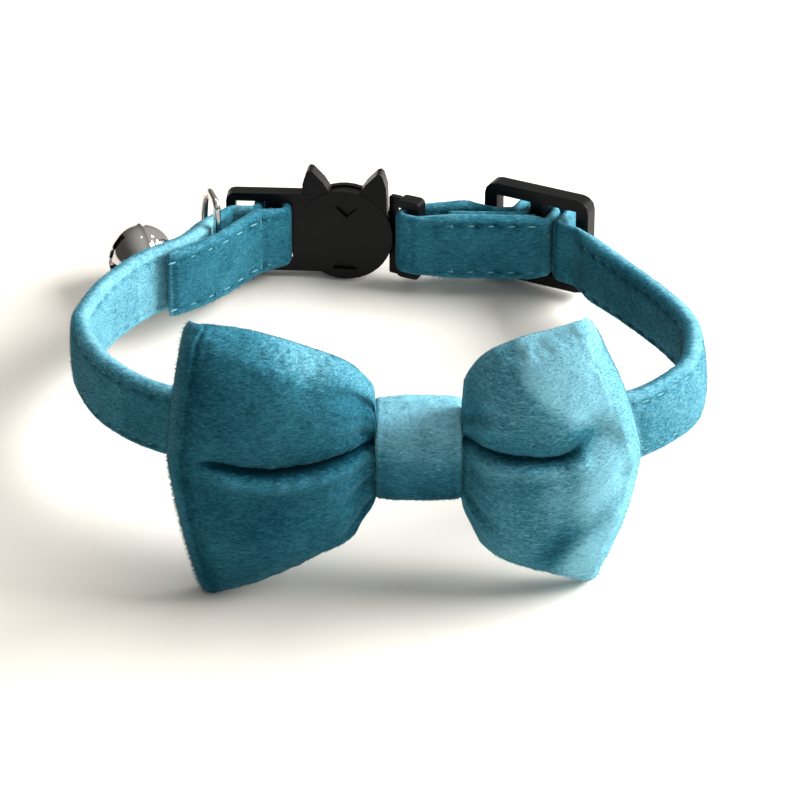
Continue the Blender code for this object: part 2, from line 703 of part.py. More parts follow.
def make_plug():
    radius = HEAD_DIAMETER / 2
    half = HEAD_THICKNESS / 2
    frame_half = BUCKLE_ARM_THICKNESS / 2
    high = BUCKLE_ARM_HEIGHT / 2
    slot_high = PINCHED_WIDTH / 2 + CLEARANCE
    tongue_half = half - HEAD_PLATE - HEAD_GROOVE
    tongue = disc_part(radius - HEAD_GROOVE, -0.30 * radius + HEAD_GROOVE)
    plug = add_prism("buckle_plug", HEAD, tongue, (-tongue_half, tongue_half))
    slot_start = RIGHT_FOLD - PINCHED_OFFSET
    neck = add_prism(
        "plug_neck", RIGHT_ARM,
        rounded_rectangle(-CLEARANCE * 2, slot_start * 2, -high, high, slot_start * 0.4),
        (-tongue_half * 0.9, tongue_half * 0.9), collection=helpers,
    )
    frame = add_prism(
        "plug_frame", RIGHT_ARM,
        rounded_rectangle(slot_start + CLEARANCE, RIGHT_ARM_LENGTH, -high, high, BUCKLE_ARM_HEIGHT * 0.06),
        (-frame_half, frame_half), collection=helpers,
    )
    slot = add_box(
        "plug_slot", RIGHT_ARM, (slot_start, RIGHT_BAR - BUCKLE_BAR_WIDTH / 2),
        (-half * 2, half * 2), (-slot_high, slot_high), helpers,
    )
    combine(plug, neck, "UNION")
    combine(plug, frame, "UNION")
    combine(plug, slot, "DIFFERENCE")
    dress(plug, plastic)
    return plug


def make_slider():
    half_length, half_height = SLIDER_LENGTH / 2, SLIDER_HEIGHT / 2
    half = SLIDER_THICKNESS / 2
    slot_high = PINCHED_WIDTH / 2 + CLEARANCE
    outline = rounded_rectangle(
        -half_length, half_length, SLIDER_LIFT - half_height, SLIDER_LIFT + half_height, SLIDER_CORNER
    )
    slider = add_prism("slider", SLIDER, outline, (-half, half))
    for name, side in (("slot_left", -1), ("slot_right", 1)):
        near, far = SLIDER_MIDDLE_BAR / 2, half_length - SLIDER_END_BAR
        span = sorted((side * near, side * far))
        tall = (-slot_high, slot_high + 2 * SLIDER_LIFT)
        slot = add_box(name, SLIDER, span, (-half * 3, half * 3), tall, helpers)
        combine(slider, slot, "DIFFERENCE")
    ease = slider.modifiers.new("eased edges", "BEVEL")
    ease.width = SLIDER_THICKNESS * 0.14
    ease.segments = 2
    ease.limit_method = "ANGLE"
    ease.angle_limit = radians(50)
    dress(slider, plastic)
    return slider


def curve_piece(name, points, wire, cyclic, sides):
    """A wire through the points, made a mesh."""
    data = bpy.data.curves.new(name, "CURVE")
    data.dimensions = "3D"
    data.bevel_depth = wire / 2
    data.bevel_resolution = sides
    data.use_fill_caps = not cyclic
    line = data.splines.new("POLY")
    line.points.add(len(points) - 1)
    for spot, place in zip(line.points, points):
        spot.co = (*place, 1)
    line.use_cyclic_u = cyclic
    curve = bpy.data.objects.new(name + "_line", data)
    parts.objects.link(curve)
    bpy.context.view_layer.update()
    graph = bpy.context.evaluated_depsgraph_get()
    mesh = bpy.data.meshes.new_from_object(curve.evaluated_get(graph))
    bpy.data.objects.remove(curve, do_unlink=True)
    made = bpy.data.objects.new(name, mesh)
    weld = bmesh.new()
    weld.from_mesh(mesh)
    bmesh.ops.remove_doubles(weld, verts=weld.verts, dist=1e-6)
    bmesh.ops.recalc_face_normals(weld, faces=weld.faces)
    weld.to_mesh(mesh)
    weld.free()
    parts.objects.link(made)
    return made


def d_ring_place():
    """Where the ring's straight bar stands between the strap's layers, and the way its arc points."""
    route = [(row["x"] * HALF_WIDTH, row["y"] * HALF_DEPTH) for row in named(ROUTE_COLUMNS, ROUTE)]
    here, after = Vector(route[0]), Vector(route[1])
    way = (after - here).normalized()
    inward = Vector((-way.y, way.x))
    left_end = LEFT_ARM.point(-LEFT_ARM_LENGTH + END_BAR_WIDTH / 2, 0)
    run = left_end - here
    return here + inward * (STRAP_THICKNESS / 2 + LAYER_GAP + D_RING_WIRE / 2), atan2(run.y, run.x) + D_RING_TURN


def make_d_ring():
    foot, turn = d_ring_place()
    low = ground(foot.y + D_RING_DEPTH / 2) + D_RING_WIRE / 2 + CLEARANCE
    high = low + D_RING_HEIGHT - D_RING_WIRE
    reach = D_RING_DEPTH - D_RING_WIRE
    half = (high - low) / 2
    middle = (high + low) / 2
    corner = D_RING_WIRE * 0.9
    outline = [(0.0, high - corner), (corner * 0.3, high - corner * 0.3), (corner, high)]
    straight = reach * D_RING_STRAIGHT
    for i in range(13):
        angle = pi / 2 - pi * i / 12
        outline.append((straight + (reach - straight) * cos(angle), middle + half * sin(angle)))
    outline += [(corner, low), (corner * 0.3, low + corner * 0.3), (0.0, low + corner)]
    way = Vector((cos(turn), sin(turn)))
    points = [(foot.x + way.x * out, foot.y + way.y * out, z) for out, z in outline]
    ring = curve_piece("d_ring", points, D_RING_WIRE, True, 2)
    dress(ring, metal)
    return ring, Vector((foot.x + way.x * reach, foot.y + way.y * reach))


def circle_points(centre, radius, one, two, count):
    return [
        centre + one * radius * cos(2 * pi * i / count) + two * radius * sin(2 * pi * i / count)
        for i in range(count)
    ]


def make_jump_ring_and_bell(hook):
    """The bell lies on the ground outside the loop, linked to the ring's outer curve."""
    link_radius = (JUMP_RING_DIAMETER - JUMP_RING_WIRE) / 2
    back = Vector((-cos(BELL_TURN), -sin(BELL_TURN), 0))
    side = Vector((-back.y, back.x, 0))
    bell_radius = BELL_DIAMETER / 2
    eye_radius = (BELL_EYE_DIAMETER - BELL_EYE_WIRE) / 2
    slack = JUMP_RING_WIRE / 2 + CLEARANCE
    link_out = link_radius - slack - D_RING_WIRE / 2
    eye_out = link_out + link_radius - slack - BELL_EYE_WIRE / 2
    bell_out = eye_out + eye_radius + eye_radius + bell_radius - BELL_EYE_WIRE * 0.4
    flat = Vector((hook.x, hook.y, 0))
    bell_flat = flat + back * bell_out
    height = ground(bell_flat.y) + bell_radius / cos(TILT) + CLEARANCE / 2
    up = Vector((0, 0, height))
    link = curve_piece(
        "jump_ring", circle_points(flat + back * link_out + up, link_radius, back, side, 18), JUMP_RING_WIRE, True, 1
    )
    dress(link, metal)
    bell = make_bell(bell_flat + up, -back, eye_radius)
    return link, bell


def make_bell(centre, axis, eye_radius):
    """A hollow ball with a raised seam, an eye at one pole and a crossed slot at the other."""
    radius = BELL_DIAMETER / 2
    frame = Matrix.Translation(centre) @ axis.to_track_quat("Z", "Y").to_matrix().to_4x4()
    profile = [(0.0, radius)]
    for i in range(1, 16):
        angle = pi * i / 16
        swell = 1.0 + (0.035 if i == 8 else 0.0)
        profile.append((radius * sin(angle) * swell, radius * cos(angle)))
    profile.append((0.0, -radius))
    outer = turned("bell", profile, parts, frame)
    inner_profile = [(0.0, radius - BELL_WALL)]
    inner = radius - BELL_WALL
    for i in range(1, 10):
        angle = pi * i / 10
        inner_profile.append((inner * sin(angle), inner * cos(angle)))
    inner_profile.append((0.0, -inner))
    hollow = turned("bell_hollow", inner_profile, helpers, frame)
    eye_centre = centre + axis * (radius + eye_radius - BELL_EYE_WIRE * 0.4)
    up = Vector((0, 0, 1))
    eye = curve_piece("bell_eye", circle_points(eye_centre, eye_radius, axis, up, 12), BELL_EYE_WIRE, True, 1)
    parts.objects.unlink(eye)
    helpers.objects.link(eye)
    eye.hide_render = True
    eye.display_type = "WIRE"
    combine(outer, eye, "UNION")
    combine(outer, hollow, "DIFFERENCE")
    for name, across in (("slot_flat", (radius * 0.82, BELL_SLOT / 2)), ("slot_upright", (BELL_SLOT / 2, radius * 0.82))):
        mesh = bmesh.new()
        bmesh.ops.create_cube(mesh, size=2)
        shape = Matrix.Translation((0, 0, -radius)) @ Matrix.Diagonal((*across, radius * 0.75, 1))
        bmesh.ops.transform(mesh, matrix=frame @ shape, verts=mesh.verts)
        combine(outer, place_mesh(name, mesh, helpers), "DIFFERENCE")
    dress(outer, metal)
    return outer


def turned(name, profile, collection, frame):
    """A ball turned round its axis from a profile, as a closed mesh."""
    mesh = bmesh.new()
    verts = [mesh.verts.new((x, 0, z)) for x, z in profile]
    edges = [mesh.edges.new(pair) for pair in zip(verts, verts[1:])]
    bmesh.ops.spin(
        mesh, geom=verts + edges, cent=(0, 0, 0), axis=(0, 0, 1), angle=2 * pi, steps=20, use_merge=True
    )
    bmesh.ops.remove_doubles(mesh, verts=mesh.verts, dist=1e-6)
    bmesh.ops.transform(mesh, matrix=frame, verts=mesh.verts)
    bmesh.ops.recalc_face_normals(mesh, faces=mesh.faces)
    return place_mesh(name, mesh, None if collection is parts else collection)


def dress(piece, material):
    piece.data.materials.clear()
    piece.data.materials.append(material)
    piece.data.shade_smooth()
    piece.data.set_sharp_from_angle(angle=radians(40))


def seat_on_ground(made):
    """Tips the loop, and puts the middle of its lowest face at the origin."""
    seat = bpy.data.objects.new("collar_seat", None)
    parts.objects.link(seat)
    for piece in made:
        piece.parent = seat
    for helper in helpers.objects:
        helper.parent = seat
    seat.rotation_euler = (-TILT, 0, 0)
    bpy.context.view_layer.update()
    graph = bpy.context.evaluated_depsgraph_get()
    corners = []
    for piece in made:
        evaluated = piece.evaluated_get(graph)
        mesh = evaluated.to_mesh()
        corners += [evaluated.matrix_world @ vertex.co for vertex in mesh.vertices]
        evaluated.to_mesh_clear()
    low = [min(corner[i] for corner in corners) for i in range(3)]
    high = [max(corner[i] for corner in corners) for i in range(3)]
    seat.location = (-(low[0] + high[0]) / 2, -(low[1] + high[1]) / 2, -low[2])
    bpy.context.view_layer.update()
    print("tilt", round(degrees(TILT), 2), "seat", [round(value * 1000, 2) for value in seat.location])


clear_scene()
parts = make_collection("pet_bow_tie_collar", bpy.context.scene.collection)
helpers = make_collection("cutters", bpy.context.scene.collection)
velvet = make_material("teal_velvet", (0.07, 0.30, 0.36), 0.85)
plastic = make_material("black_plastic", (0.02, 0.02, 0.02), 0.35)
metal = make_material("bright_metal", (0.78, 0.76, 0.74), 0.15, 1.0)

strap = make_strap()
bow = make_bow()
knot = make_knot()
socket = make_socket()
plug = make_plug()
slider = make_slider()
d_ring, ring_hook = make_d_ring()
jump_ring, bell = make_jump_ring_and_bell(ring_hook)
seat_on_ground([strap, bow, knot, socket, plug, slider, d_ring, jump_ring, bell])
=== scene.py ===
import json
from functools import cache
from math import atan2, cos, exp, hypot, pi, radians, sin, sqrt, tan
import bpy
import bmesh
import numpy as np
from mathutils import Matrix, Vector, noise
from mathutils.kdtree import KDTree

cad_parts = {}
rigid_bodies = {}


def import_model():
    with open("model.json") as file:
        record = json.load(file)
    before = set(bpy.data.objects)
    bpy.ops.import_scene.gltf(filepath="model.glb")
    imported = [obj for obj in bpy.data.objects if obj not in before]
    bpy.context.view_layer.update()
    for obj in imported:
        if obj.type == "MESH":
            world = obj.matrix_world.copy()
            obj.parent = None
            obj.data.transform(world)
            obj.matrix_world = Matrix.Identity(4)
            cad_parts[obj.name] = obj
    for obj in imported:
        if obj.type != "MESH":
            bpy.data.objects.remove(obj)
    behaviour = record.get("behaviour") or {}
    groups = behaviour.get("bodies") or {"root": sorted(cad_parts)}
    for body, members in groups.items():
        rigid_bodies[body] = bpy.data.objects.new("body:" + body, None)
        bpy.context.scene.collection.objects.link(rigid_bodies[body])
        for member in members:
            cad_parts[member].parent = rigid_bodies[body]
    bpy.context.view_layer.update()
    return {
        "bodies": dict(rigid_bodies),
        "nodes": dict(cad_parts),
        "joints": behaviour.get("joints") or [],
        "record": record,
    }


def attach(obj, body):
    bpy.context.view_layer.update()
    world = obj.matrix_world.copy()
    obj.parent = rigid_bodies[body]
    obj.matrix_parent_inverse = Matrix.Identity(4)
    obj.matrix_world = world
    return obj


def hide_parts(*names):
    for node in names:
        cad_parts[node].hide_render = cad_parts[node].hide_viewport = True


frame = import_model()

# Shapes are drawn in millimetres in the level loop's frame, then seated as the solids are
seat = {"tiltDegrees": 9.1154, "place": (-0.3442, 5.2393, 13.0562)}
seatTurn = Matrix.Rotation(-radians(seat["tiltDegrees"]), 4, "X")
seatMatrix = Matrix.Translation(Vector(seat["place"]) / 1000) @ seatTurn @ Matrix.Scale(0.001, 4)
scene = bpy.context.scene


def seated(points):
    return [seatMatrix @ Vector(point) for point in points]


def addObject(name, mesh):
    made = bpy.data.objects.new(name, mesh)
    scene.collection.objects.link(made)
    return made


def meshFrom(name, points, faces):
    mesh = bpy.data.meshes.new(name)
    mesh.from_pydata(seated(points), [], faces)
    mesh.shade_smooth()
    mesh.update()
    return mesh


def ringFaces(ringCount, size, closed=False):
    faces = []
    for i in range(ringCount if closed else ringCount - 1):
        a, b = i * size, (i + 1) % ringCount * size
        for j in range(size):
            k = (j + 1) % size
            faces.append((a + j, a + k, b + k, b + j))
    if not closed:
        faces.append(tuple(reversed(range(size))))
        faces.append(tuple(range((ringCount - 1) * size, ringCount * size)))
    return faces


def outward(mesh):
    shape = bmesh.new()
    shape.from_mesh(mesh)
    bmesh.ops.remove_doubles(shape, verts=shape.verts, dist=1e-7)
    bmesh.ops.recalc_face_normals(shape, faces=shape.faces)
    shape.to_mesh(mesh)
    shape.free()
    return mesh


def setValues(mesh, name, values):
    layer = mesh.attributes.new(name, "FLOAT", "POINT")
    layer.data.foreach_set("value", values)


def setWays(mesh, name, ways):
    layer = mesh.attributes.new(name, "FLOAT_VECTOR", "POINT")
    layer.data.foreach_set("vector", [value for way in ways for value in seatTurn.to_3x3() @ Vector(way)])


# The nap value sets how light the velvet is, from its pile and from painted light and shade; fuzz sets how
# much pile stands on it, and pileWay where the pile leans
def velvetPiece(name, points, faces, napAndShade, fuzz, ways):
    mesh = meshFrom(name, points, faces)
    setValues(mesh, "napAndShade", napAndShade)
    setValues(mesh, "fuzz", fuzz)
    setWays(mesh, "pileWay", ways)
    return addObject(name, outward(mesh))


def meshOf(piece):
    bpy.context.view_layer.update()
    return bpy.data.meshes.new_from_object(piece.evaluated_get(bpy.context.evaluated_depsgraph_get()))


def evaluated(piece):
    mesh = meshOf(piece)
    piece.modifiers.clear()
    piece.data = mesh
    return mesh


def finished(piece, material, slot, *nodes):
    piece.data.materials.clear()
    piece.data.materials.append(material)
    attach(piece, "root")
    if nodes:
        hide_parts(*nodes)
    return piece


def bump(x, centre, width):
    return exp(-((x - centre) / width) ** 2)


def smoothStep(x, low, high):
    t = min(1.0, max(0.0, (x - low) / (high - low)))
    return t * t * (3 - 2 * t)


def waver(size, x, y, z):
    return size * noise.noise(Vector((x, y, z)))


def feed(tree, spot, value):
    if isinstance(value, bpy.types.NodeSocket):
        tree.links.new(value, spot)
    else:
        spot.default_value = value


# Inputs are values, or sockets to link from. In a name _ stands for a space, and input0 is the
# first input by place.
def feedAll(tree, node, **inputs):
    for name, value in inputs.items():
        spot = int(name[5:]) if name.startswith("input") else name.replace("_", " ")
        feed(tree, node.inputs[spot], value)


def addNode(tree, kind, setup=None, **inputs):
    node = tree.nodes.new(kind)
    for name, value in (setup or {}).items():
        setattr(node, name, value)
    feedAll(tree, node, **inputs)
    return node


def addMath(tree, kind, *values):
    node = addNode(tree, "ShaderNodeMath", {"operation": kind})
    for spot, value in zip(node.inputs, values):
        feed(tree, spot, value)
    return node.outputs["Value"]


def addSockets(tree, way, kind, *names):
    for name in names:
        tree.interface.new_socket(name, in_out=way, socket_type="NodeSocket" + kind)


# Camera, light and floor
camera = {"elevation": radians(29), "distance": 640.0, "aim": (2.0, -21.5, 0.0), "lens": 197.28}


def addCamera():
    data = bpy.data.cameras.new("camera")
    data.lens = camera["lens"]
    data.sensor_width = 36
    data.clip_end = 10
    made = addObject("camera", data)
    aim = Vector(camera["aim"])
    eye = aim + camera["distance"] * Vector((0, -cos(camera["elevation"]), sin(camera["elevation"])))
    eyeWorld, aimWorld = seated([eye, aim])
    made.location = eyeWorld
    made.rotation_euler = (aimWorld - eyeWorld).to_track_quat("-Z", "Y").to_euler()
    scene.camera = made


def addLight(name, energy, size, place):
    data = bpy.data.lights.new(name, "AREA")
    data.energy = energy
    data.size = size
    made = addObject(name, data)
    made.location = place
    made.rotation_euler = (Vector(lighting["aim"]) - Vector(place)).to_track_quat("-Z", "Y").to_euler()


lighting = {
    "key": 15.5, "keySize": 0.52, "keyPlace": (0.68, 0.12, 0.42),
    "back": 1.6, "backSize": 0.45, "backPlace": (0.15, 0.42, 0.80),
    "fill": 0.5, "fillSize": 0.5, "fillPlace": (-0.20, -0.75, 0.50), "aim": (0, 0, 0.01),
    "skyLow": 0.08, "skyHigh": 0.58, "skyWay": (0.70, 0.16, 0.56), "skyFrom": -0.30, "skyTo": 0.75,
    "skyColour": (1.0, 0.975, 0.93, 1), "floorHalf": 3, "floorColour": (0.93, 0.885, 0.815, 1),
}


def addSky():
    world = bpy.data.worlds.new("studio")
    world.use_nodes = True
    tree = world.node_tree
    where = addNode(tree, "ShaderNodeTexCoord").outputs["Generated"]
    toward = addNode(
        tree, "ShaderNodeVectorMath", {"operation": "DOT_PRODUCT"}, input0=where, input1=lighting["skyWay"],
    )
    level = addNode(
        tree, "ShaderNodeMapRange", {"interpolation_type": "SMOOTHSTEP"}, Value=toward.outputs["Value"],
        From_Min=lighting["skyFrom"], From_Max=lighting["skyTo"],
        To_Min=lighting["skyLow"], To_Max=lighting["skyHigh"],
    )
    background = tree.nodes["Background"]
    feedAll(tree, background, Strength=level.outputs["Result"], Color=lighting["skyColour"])
    scene.world = world


def addStudio():
    for name in ("key", "back", "fill"):
        addLight(name + "Light", lighting[name], lighting[name + "Size"], lighting[name + "Place"])
    addSky()
    scene.view_settings.view_transform = "Standard"
    far = lighting["floorHalf"]
    mesh = bpy.data.meshes.new("floor")
    mesh.from_pydata([(-far, -far, 0), (far, -far, 0), (far, far, 0), (-far, far, 0)], [], [(0, 1, 2, 3)])
    ground = addObject("floor", mesh)
    paper = bpy.data.materials.new("paperFloor")
    paper.use_nodes = True
    shader = paper.node_tree.nodes["Principled BSDF"]
    shader.inputs["Base Color"].default_value = lighting["floorColour"]
    shader.inputs["Roughness"].default_value = 0.9
    mesh.materials.append(paper)


addCamera()
addStudio()
print("camera, light and floor")


# Materials
def newMaterial(name):
    material = bpy.data.materials.new(name)
    material.use_nodes = True
    return material, material.node_tree, material.node_tree.nodes["Principled BSDF"]


# Short hairs, tufts and broad patches of the pile shift the nap value, which also carries painted light and
# shade.
# It runs from deep, painted shade and pile stroked away from the light, to lit, painted light, and below
# nought it darkens towards black, painted shade as in a crease.
pileLook = {
    "stretch": (0.34, 0.60, 1.30), "fineScale": 4300.0, "fineShare": 0.80, "tuftScale": 1750.0,
    "patchShare": 0.32, "middleAt": 0.42, "darkFrom": -0.75, "darkTo": -0.10, "darkest": 0.10,
    "fineHeight": 0.6,
}


def pileGroup():
    look = pileLook
    tree = bpy.data.node_groups.new("velvetPile", "ShaderNodeTree")
    addSockets(tree, "INPUT", "Float", "Nap", "Patch size", "Streak", "Shift")
    addSockets(tree, "INPUT", "Color", "Deep", "Middle", "Lit")
    addSockets(tree, "OUTPUT", "Color", "Colour")
    addSockets(tree, "OUTPUT", "Float", "Height")
    given = tree.nodes.new("NodeGroupInput").outputs
    where = addNode(tree, "ShaderNodeTexCoord").outputs["Object"]
    along = addNode(tree, "ShaderNodeMapping", Vector=where, Scale=look["stretch"]).outputs["Vector"]

    def pattern(vector, scale, detail, roughness, distortion=0.0):
        return addNode(
            tree, "ShaderNodeTexNoise", Vector=vector, Scale=scale, Detail=detail, Roughness=roughness,
            Distortion=distortion,
        ).outputs["Fac"]

    fine = pattern(along, look["fineScale"], 2.0, 0.6)
    tufts = pattern(along, look["tuftScale"], 3.0, 0.65)
    patch = pattern(where, given["Patch size"], 3.0, 0.55, 0.5)
    total = addMath(tree, "ADD", given["Nap"], given["Shift"])
    for value, share in ((patch, look["patchShare"]), (fine, look["fineShare"]), (tufts, given["Streak"])):
        swing = addMath(tree, "MULTIPLY", addMath(tree, "SUBTRACT", value, 0.5), share)
        total = addMath(tree, "ADD", total, swing)
    colour = given["Deep"]
    for name, low, high in (("Middle", 0.0, look["middleAt"]), ("Lit", look["middleAt"], 1.0)):
        share = addNode(tree, "ShaderNodeMapRange", Value=total, From_Min=low, From_Max=high)
        mix = addNode(
            tree, "ShaderNodeMix", {"data_type": "RGBA"}, Factor=share.outputs["Result"],
            input6=colour, input7=given[name],
        )
        colour = mix.outputs[2]
    # Painted crease shade: low values scale the colour towards black
    shade = addNode(
        tree, "ShaderNodeMapRange", Value=total, From_Min=look["darkFrom"], From_Max=look["darkTo"],
        To_Min=look["darkest"], To_Max=1.0,
    )
    darker = addNode(
        tree, "ShaderNodeVectorMath", {"operation": "SCALE"}, input0=colour, Scale=shade.outputs["Result"],
    )
    height = addMath(tree, "ADD", addMath(tree, "MULTIPLY", fine, look["fineHeight"]), tufts)
    feedAll(tree, tree.nodes.new("NodeGroupOutput"), Colour=darker.outputs["Vector"], Height=height)
    return tree


velvetPile = pileGroup()
# deep, middle and lit are the velvet's colours from painted shade to painted light along the nap value
velvetLook = {
    "deep": (0.001, 0.050, 0.082, 1), "middle": (0.035, 0.185, 0.255, 1), "lit": (0.25, 0.58, 0.70, 1),
    "sheen": 0.20, "sheenRoughness": 0.38, "sheenTint": (0.40, 0.86, 1.0, 1), "bump": 0.6,
}


def raised(tree, height, strength, distance):
    node = addNode(tree, "ShaderNodeBump", Strength=strength, Distance=distance, Height=height)
    return node.outputs["Normal"]


def velvetMaterial(name, patchSize, streak, bumpDistance, shift=0.0):
    look = velvetLook
    material, tree, shader = newMaterial(name)
    # The velvet's nap value carries painted light and shade as well as the pile's own nap
    napAndShade = addNode(tree, "ShaderNodeAttribute", {"attribute_name": "napAndShade"})
    pile = addNode(
        tree, "ShaderNodeGroup", {"node_tree": velvetPile}, Nap=napAndShade.outputs["Fac"], Patch_size=patchSize,
        Streak=streak, Shift=shift, Deep=look["deep"], Middle=look["middle"], Lit=look["lit"],
    )
    if bumpDistance:
        feedAll(tree, shader, Normal=raised(tree, pile.outputs["Height"], look["bump"], bumpDistance))
    feedAll(
        tree, shader, Base_Color=pile.outputs["Colour"], Roughness=0.9, Specular_IOR_Level=0.06,
        Sheen_Weight=look["sheen"], Sheen_Roughness=look["sheenRoughness"], Sheen_Tint=look["sheenTint"],
    )
    return material


def plasticMaterial():
    material, tree, shader = newMaterial("blackPlastic")
    where = addNode(tree, "ShaderNodeTexCoord").outputs["Object"]
    grain = addNode(tree, "ShaderNodeTexNoise", Vector=where, Scale=3500.0, Detail=2.0)
    wear = addNode(tree, "ShaderNodeTexNoise", Vector=where, Scale=180.0, Detail=4.0)
    gloss = addNode(tree, "ShaderNodeMapRange", Value=wear.outputs["Fac"], To_Min=0.24, To_Max=0.46)
    feedAll(
        tree, shader, Base_Color=(0.004, 0.004, 0.0045, 1), Specular_IOR_Level=0.12,
        Roughness=gloss.outputs["Result"], Normal=raised(tree, grain.outputs["Fac"], 0.25, 0.00004),
    )
    return material


def metalMaterial():
    material, tree, shader = newMaterial("brightNickel")
    where = addNode(tree, "ShaderNodeTexCoord").outputs["Object"]
    haze = addNode(tree, "ShaderNodeTexNoise", Vector=where, Scale=260.0, Detail=5.0).outputs["Fac"]
    gloss = addNode(tree, "ShaderNodeMapRange", Value=haze, To_Min=0.04, To_Max=0.10)
    feedAll(
        tree, shader, Base_Color=(0.66, 0.635, 0.61, 1), Metallic=1.0,
        Roughness=gloss.outputs["Result"], Normal=raised(tree, haze, 0.03, 0.00005),
    )
    return material


def threadMaterial(name, colour):
    material, tree, shader = newMaterial(name)
    where = addNode(tree, "ShaderNodeTexCoord").outputs["Object"]
    twist = addNode(tree, "ShaderNodeTexWave", Vector=where, Scale=1400.0, Distortion=1.0)
    feedAll(
        tree, shader, Base_Color=colour, Roughness=0.55, Sheen_Weight=0.2,
        Normal=raised(tree, twist.outputs["Fac"], 0.5, 0.00006),
    )
    return material


bowVelvet = velvetMaterial("bowVelvet", 75.0, 0.50, 0.00020)
strapVelvet = velvetMaterial("strapVelvet", 110.0, 0.50, 0.00018)
knotVelvet = velvetMaterial("knotVelvet", 120.0, 0.50, 0.00018)
fuzzVelvet = velvetMaterial("fuzzVelvet", 75.0, 0.25, 0, 0.08)
blackPlastic = plasticMaterial()
brightNickel = metalMaterial()
stitchThread = threadMaterial("stitchThread", (0.10, 0.34, 0.40, 1))
print("materials")

# Bow, its sections along a wing as shares of the named sizes
wingRows = [
    # along, left height, right height, front bulge, back bulge, crease
    (0.000, 0.380, 0.420, 0.38, 0.60, 0.36),
    (0.020, 0.450, 0.500, 0.45, 0.65, 0.42),
    (0.060, 0.525, 0.595, 0.54, 0.72, 0.50),
    (0.110, 0.615, 0.685, 0.70, 0.90, 0.66),
    (0.200, 0.695, 0.760, 0.90, 1.00, 0.84),
    (0.340, 0.770, 0.810, 1.00, 1.00, 1.00),
    (0.500, 0.855, 0.858, 0.99, 1.00, 0.95),
    (0.660, 0.930, 0.902, 0.90, 0.95, 0.75),
    (0.800, 0.975, 0.940, 0.74, 0.85, 0.35),
    (0.910, 1.000, 0.968, 0.54, 0.72, 0.05),
    (0.975, 1.004, 0.978, 0.38, 0.58, 0.00),
    (1.000, 0.996, 0.970, 0.10, 0.30, 0.00),
]
bowSizes = {
    "waistHeight": 11.4, "waistDepth": 5.6, "wingHeight": 43.2, "frontBulge": 7.2, "backBulge": 4.0,
    "crease": 4.3, "lift": 1.9, "waistLift": 2.0, "liftBy": 0.3, "knotRaise": 0.6, "middle": 4.7,
    "knotWidth": 12.0,
    "back": -35.55, "corner": 0.8, "cornerFrom": 0.80, "edgeCurve": 1.4, "wingRound": 2.3, "waistRound": 2.4,
    "rows": 91, "stations": 62,
}
wings = {
    "left": {
        "side": -1, "length": 29.7, "forward": 4.5, "edgeBow": 3.6, "edgeLean": -0.6,
        "creaseShare": 1.0, "creaseEnd": (0.74, 0.92),
    },
    "right": {
        "side": 1, "length": 25.5, "forward": 2.0, "edgeBow": 6.6, "edgeLean": 0.9,
        "creaseShare": 0.72, "creaseEnd": (0.52, 0.76),
    },
}
creaseShape = {
    "coreShare": 0.62, "core": 0.60, "above": 3.0, "below": 0.75, "lip": 0.6, "lipAt": -1.5, "sag": 0.7,
    "sagAt": 1.2, "width": 1.2,
}
wingShape = {
    "pleat": 0.34, "smallPleat": 0.22, "pleatAt": 0.07, "pleatWide": 0.16, "ridge": 0.17, "ridgePitch": 1.35,
    "ridgeFrom": (0.3, 1.0), "ridgeTo": (2.6, 4.6), "seam": 0.35, "seamIn": 1.6, "seamWide": 0.9,
    "hollow": 1.5, "hollowAt": 0.80, "lump": 0.38, "smallLump": 0.14,
}


@cache
def wingAt(u):
    rows = np.array(wingRows)
    i = int(np.clip(np.searchsorted(rows[:, 0], u) - 1, 0, len(rows) - 2))
    t = (u - rows[i, 0]) / (rows[i + 1, 0] - rows[i, 0])
    a, b, c, d = rows[max(i - 1, 0)], rows[i], rows[i + 1], rows[min(i + 2, len(rows) - 1)]
    slopeB = (c - a) / max(1e-6, c[0] - a[0])
    slopeC = (d - b) / max(1e-6, d[0] - b[0])
    span = c[0] - b[0]
    value = (2 * t**3 - 3 * t**2 + 1) * b + (t**3 - 2 * t**2 + t) * span * slopeB
    value = value + (3 * t**2 - 2 * t**3) * c + (t**3 - t**2) * span * slopeC
    return tuple(float(v) for v in value[1:])


def wingValue(wing, u):
    left, right, front, back, crease = wingAt(u)
    return (left if wing["side"] < 0 else right), front, back, crease * wing["creaseShare"]


def creaseLine(side, u):
    if side < 0:
        return 1.9 - 1.5 * bump(u, 0.50, 0.26) + 0.3 * smoothStep(u, 0.6, 0.85)
    return 2.3 - 0.2 * bump(u, 0.40, 0.2) + 2.9 * smoothStep(u, 0.52, 0.80)


def rounding(q, power):
    return (1 - abs(q) ** power) ** (1 / power) if abs(q) < 1 else 0.0


def awayFromCrease(wing, u, q):
    return q * wingValue(wing, u)[0] * bowSizes["wingHeight"] / 2 - creaseLine(wing["side"], u)


def creaseFade(wing, u):
    return wingValue(wing, u)[3] * (1 - smoothStep(u, *wing["creaseEnd"]))


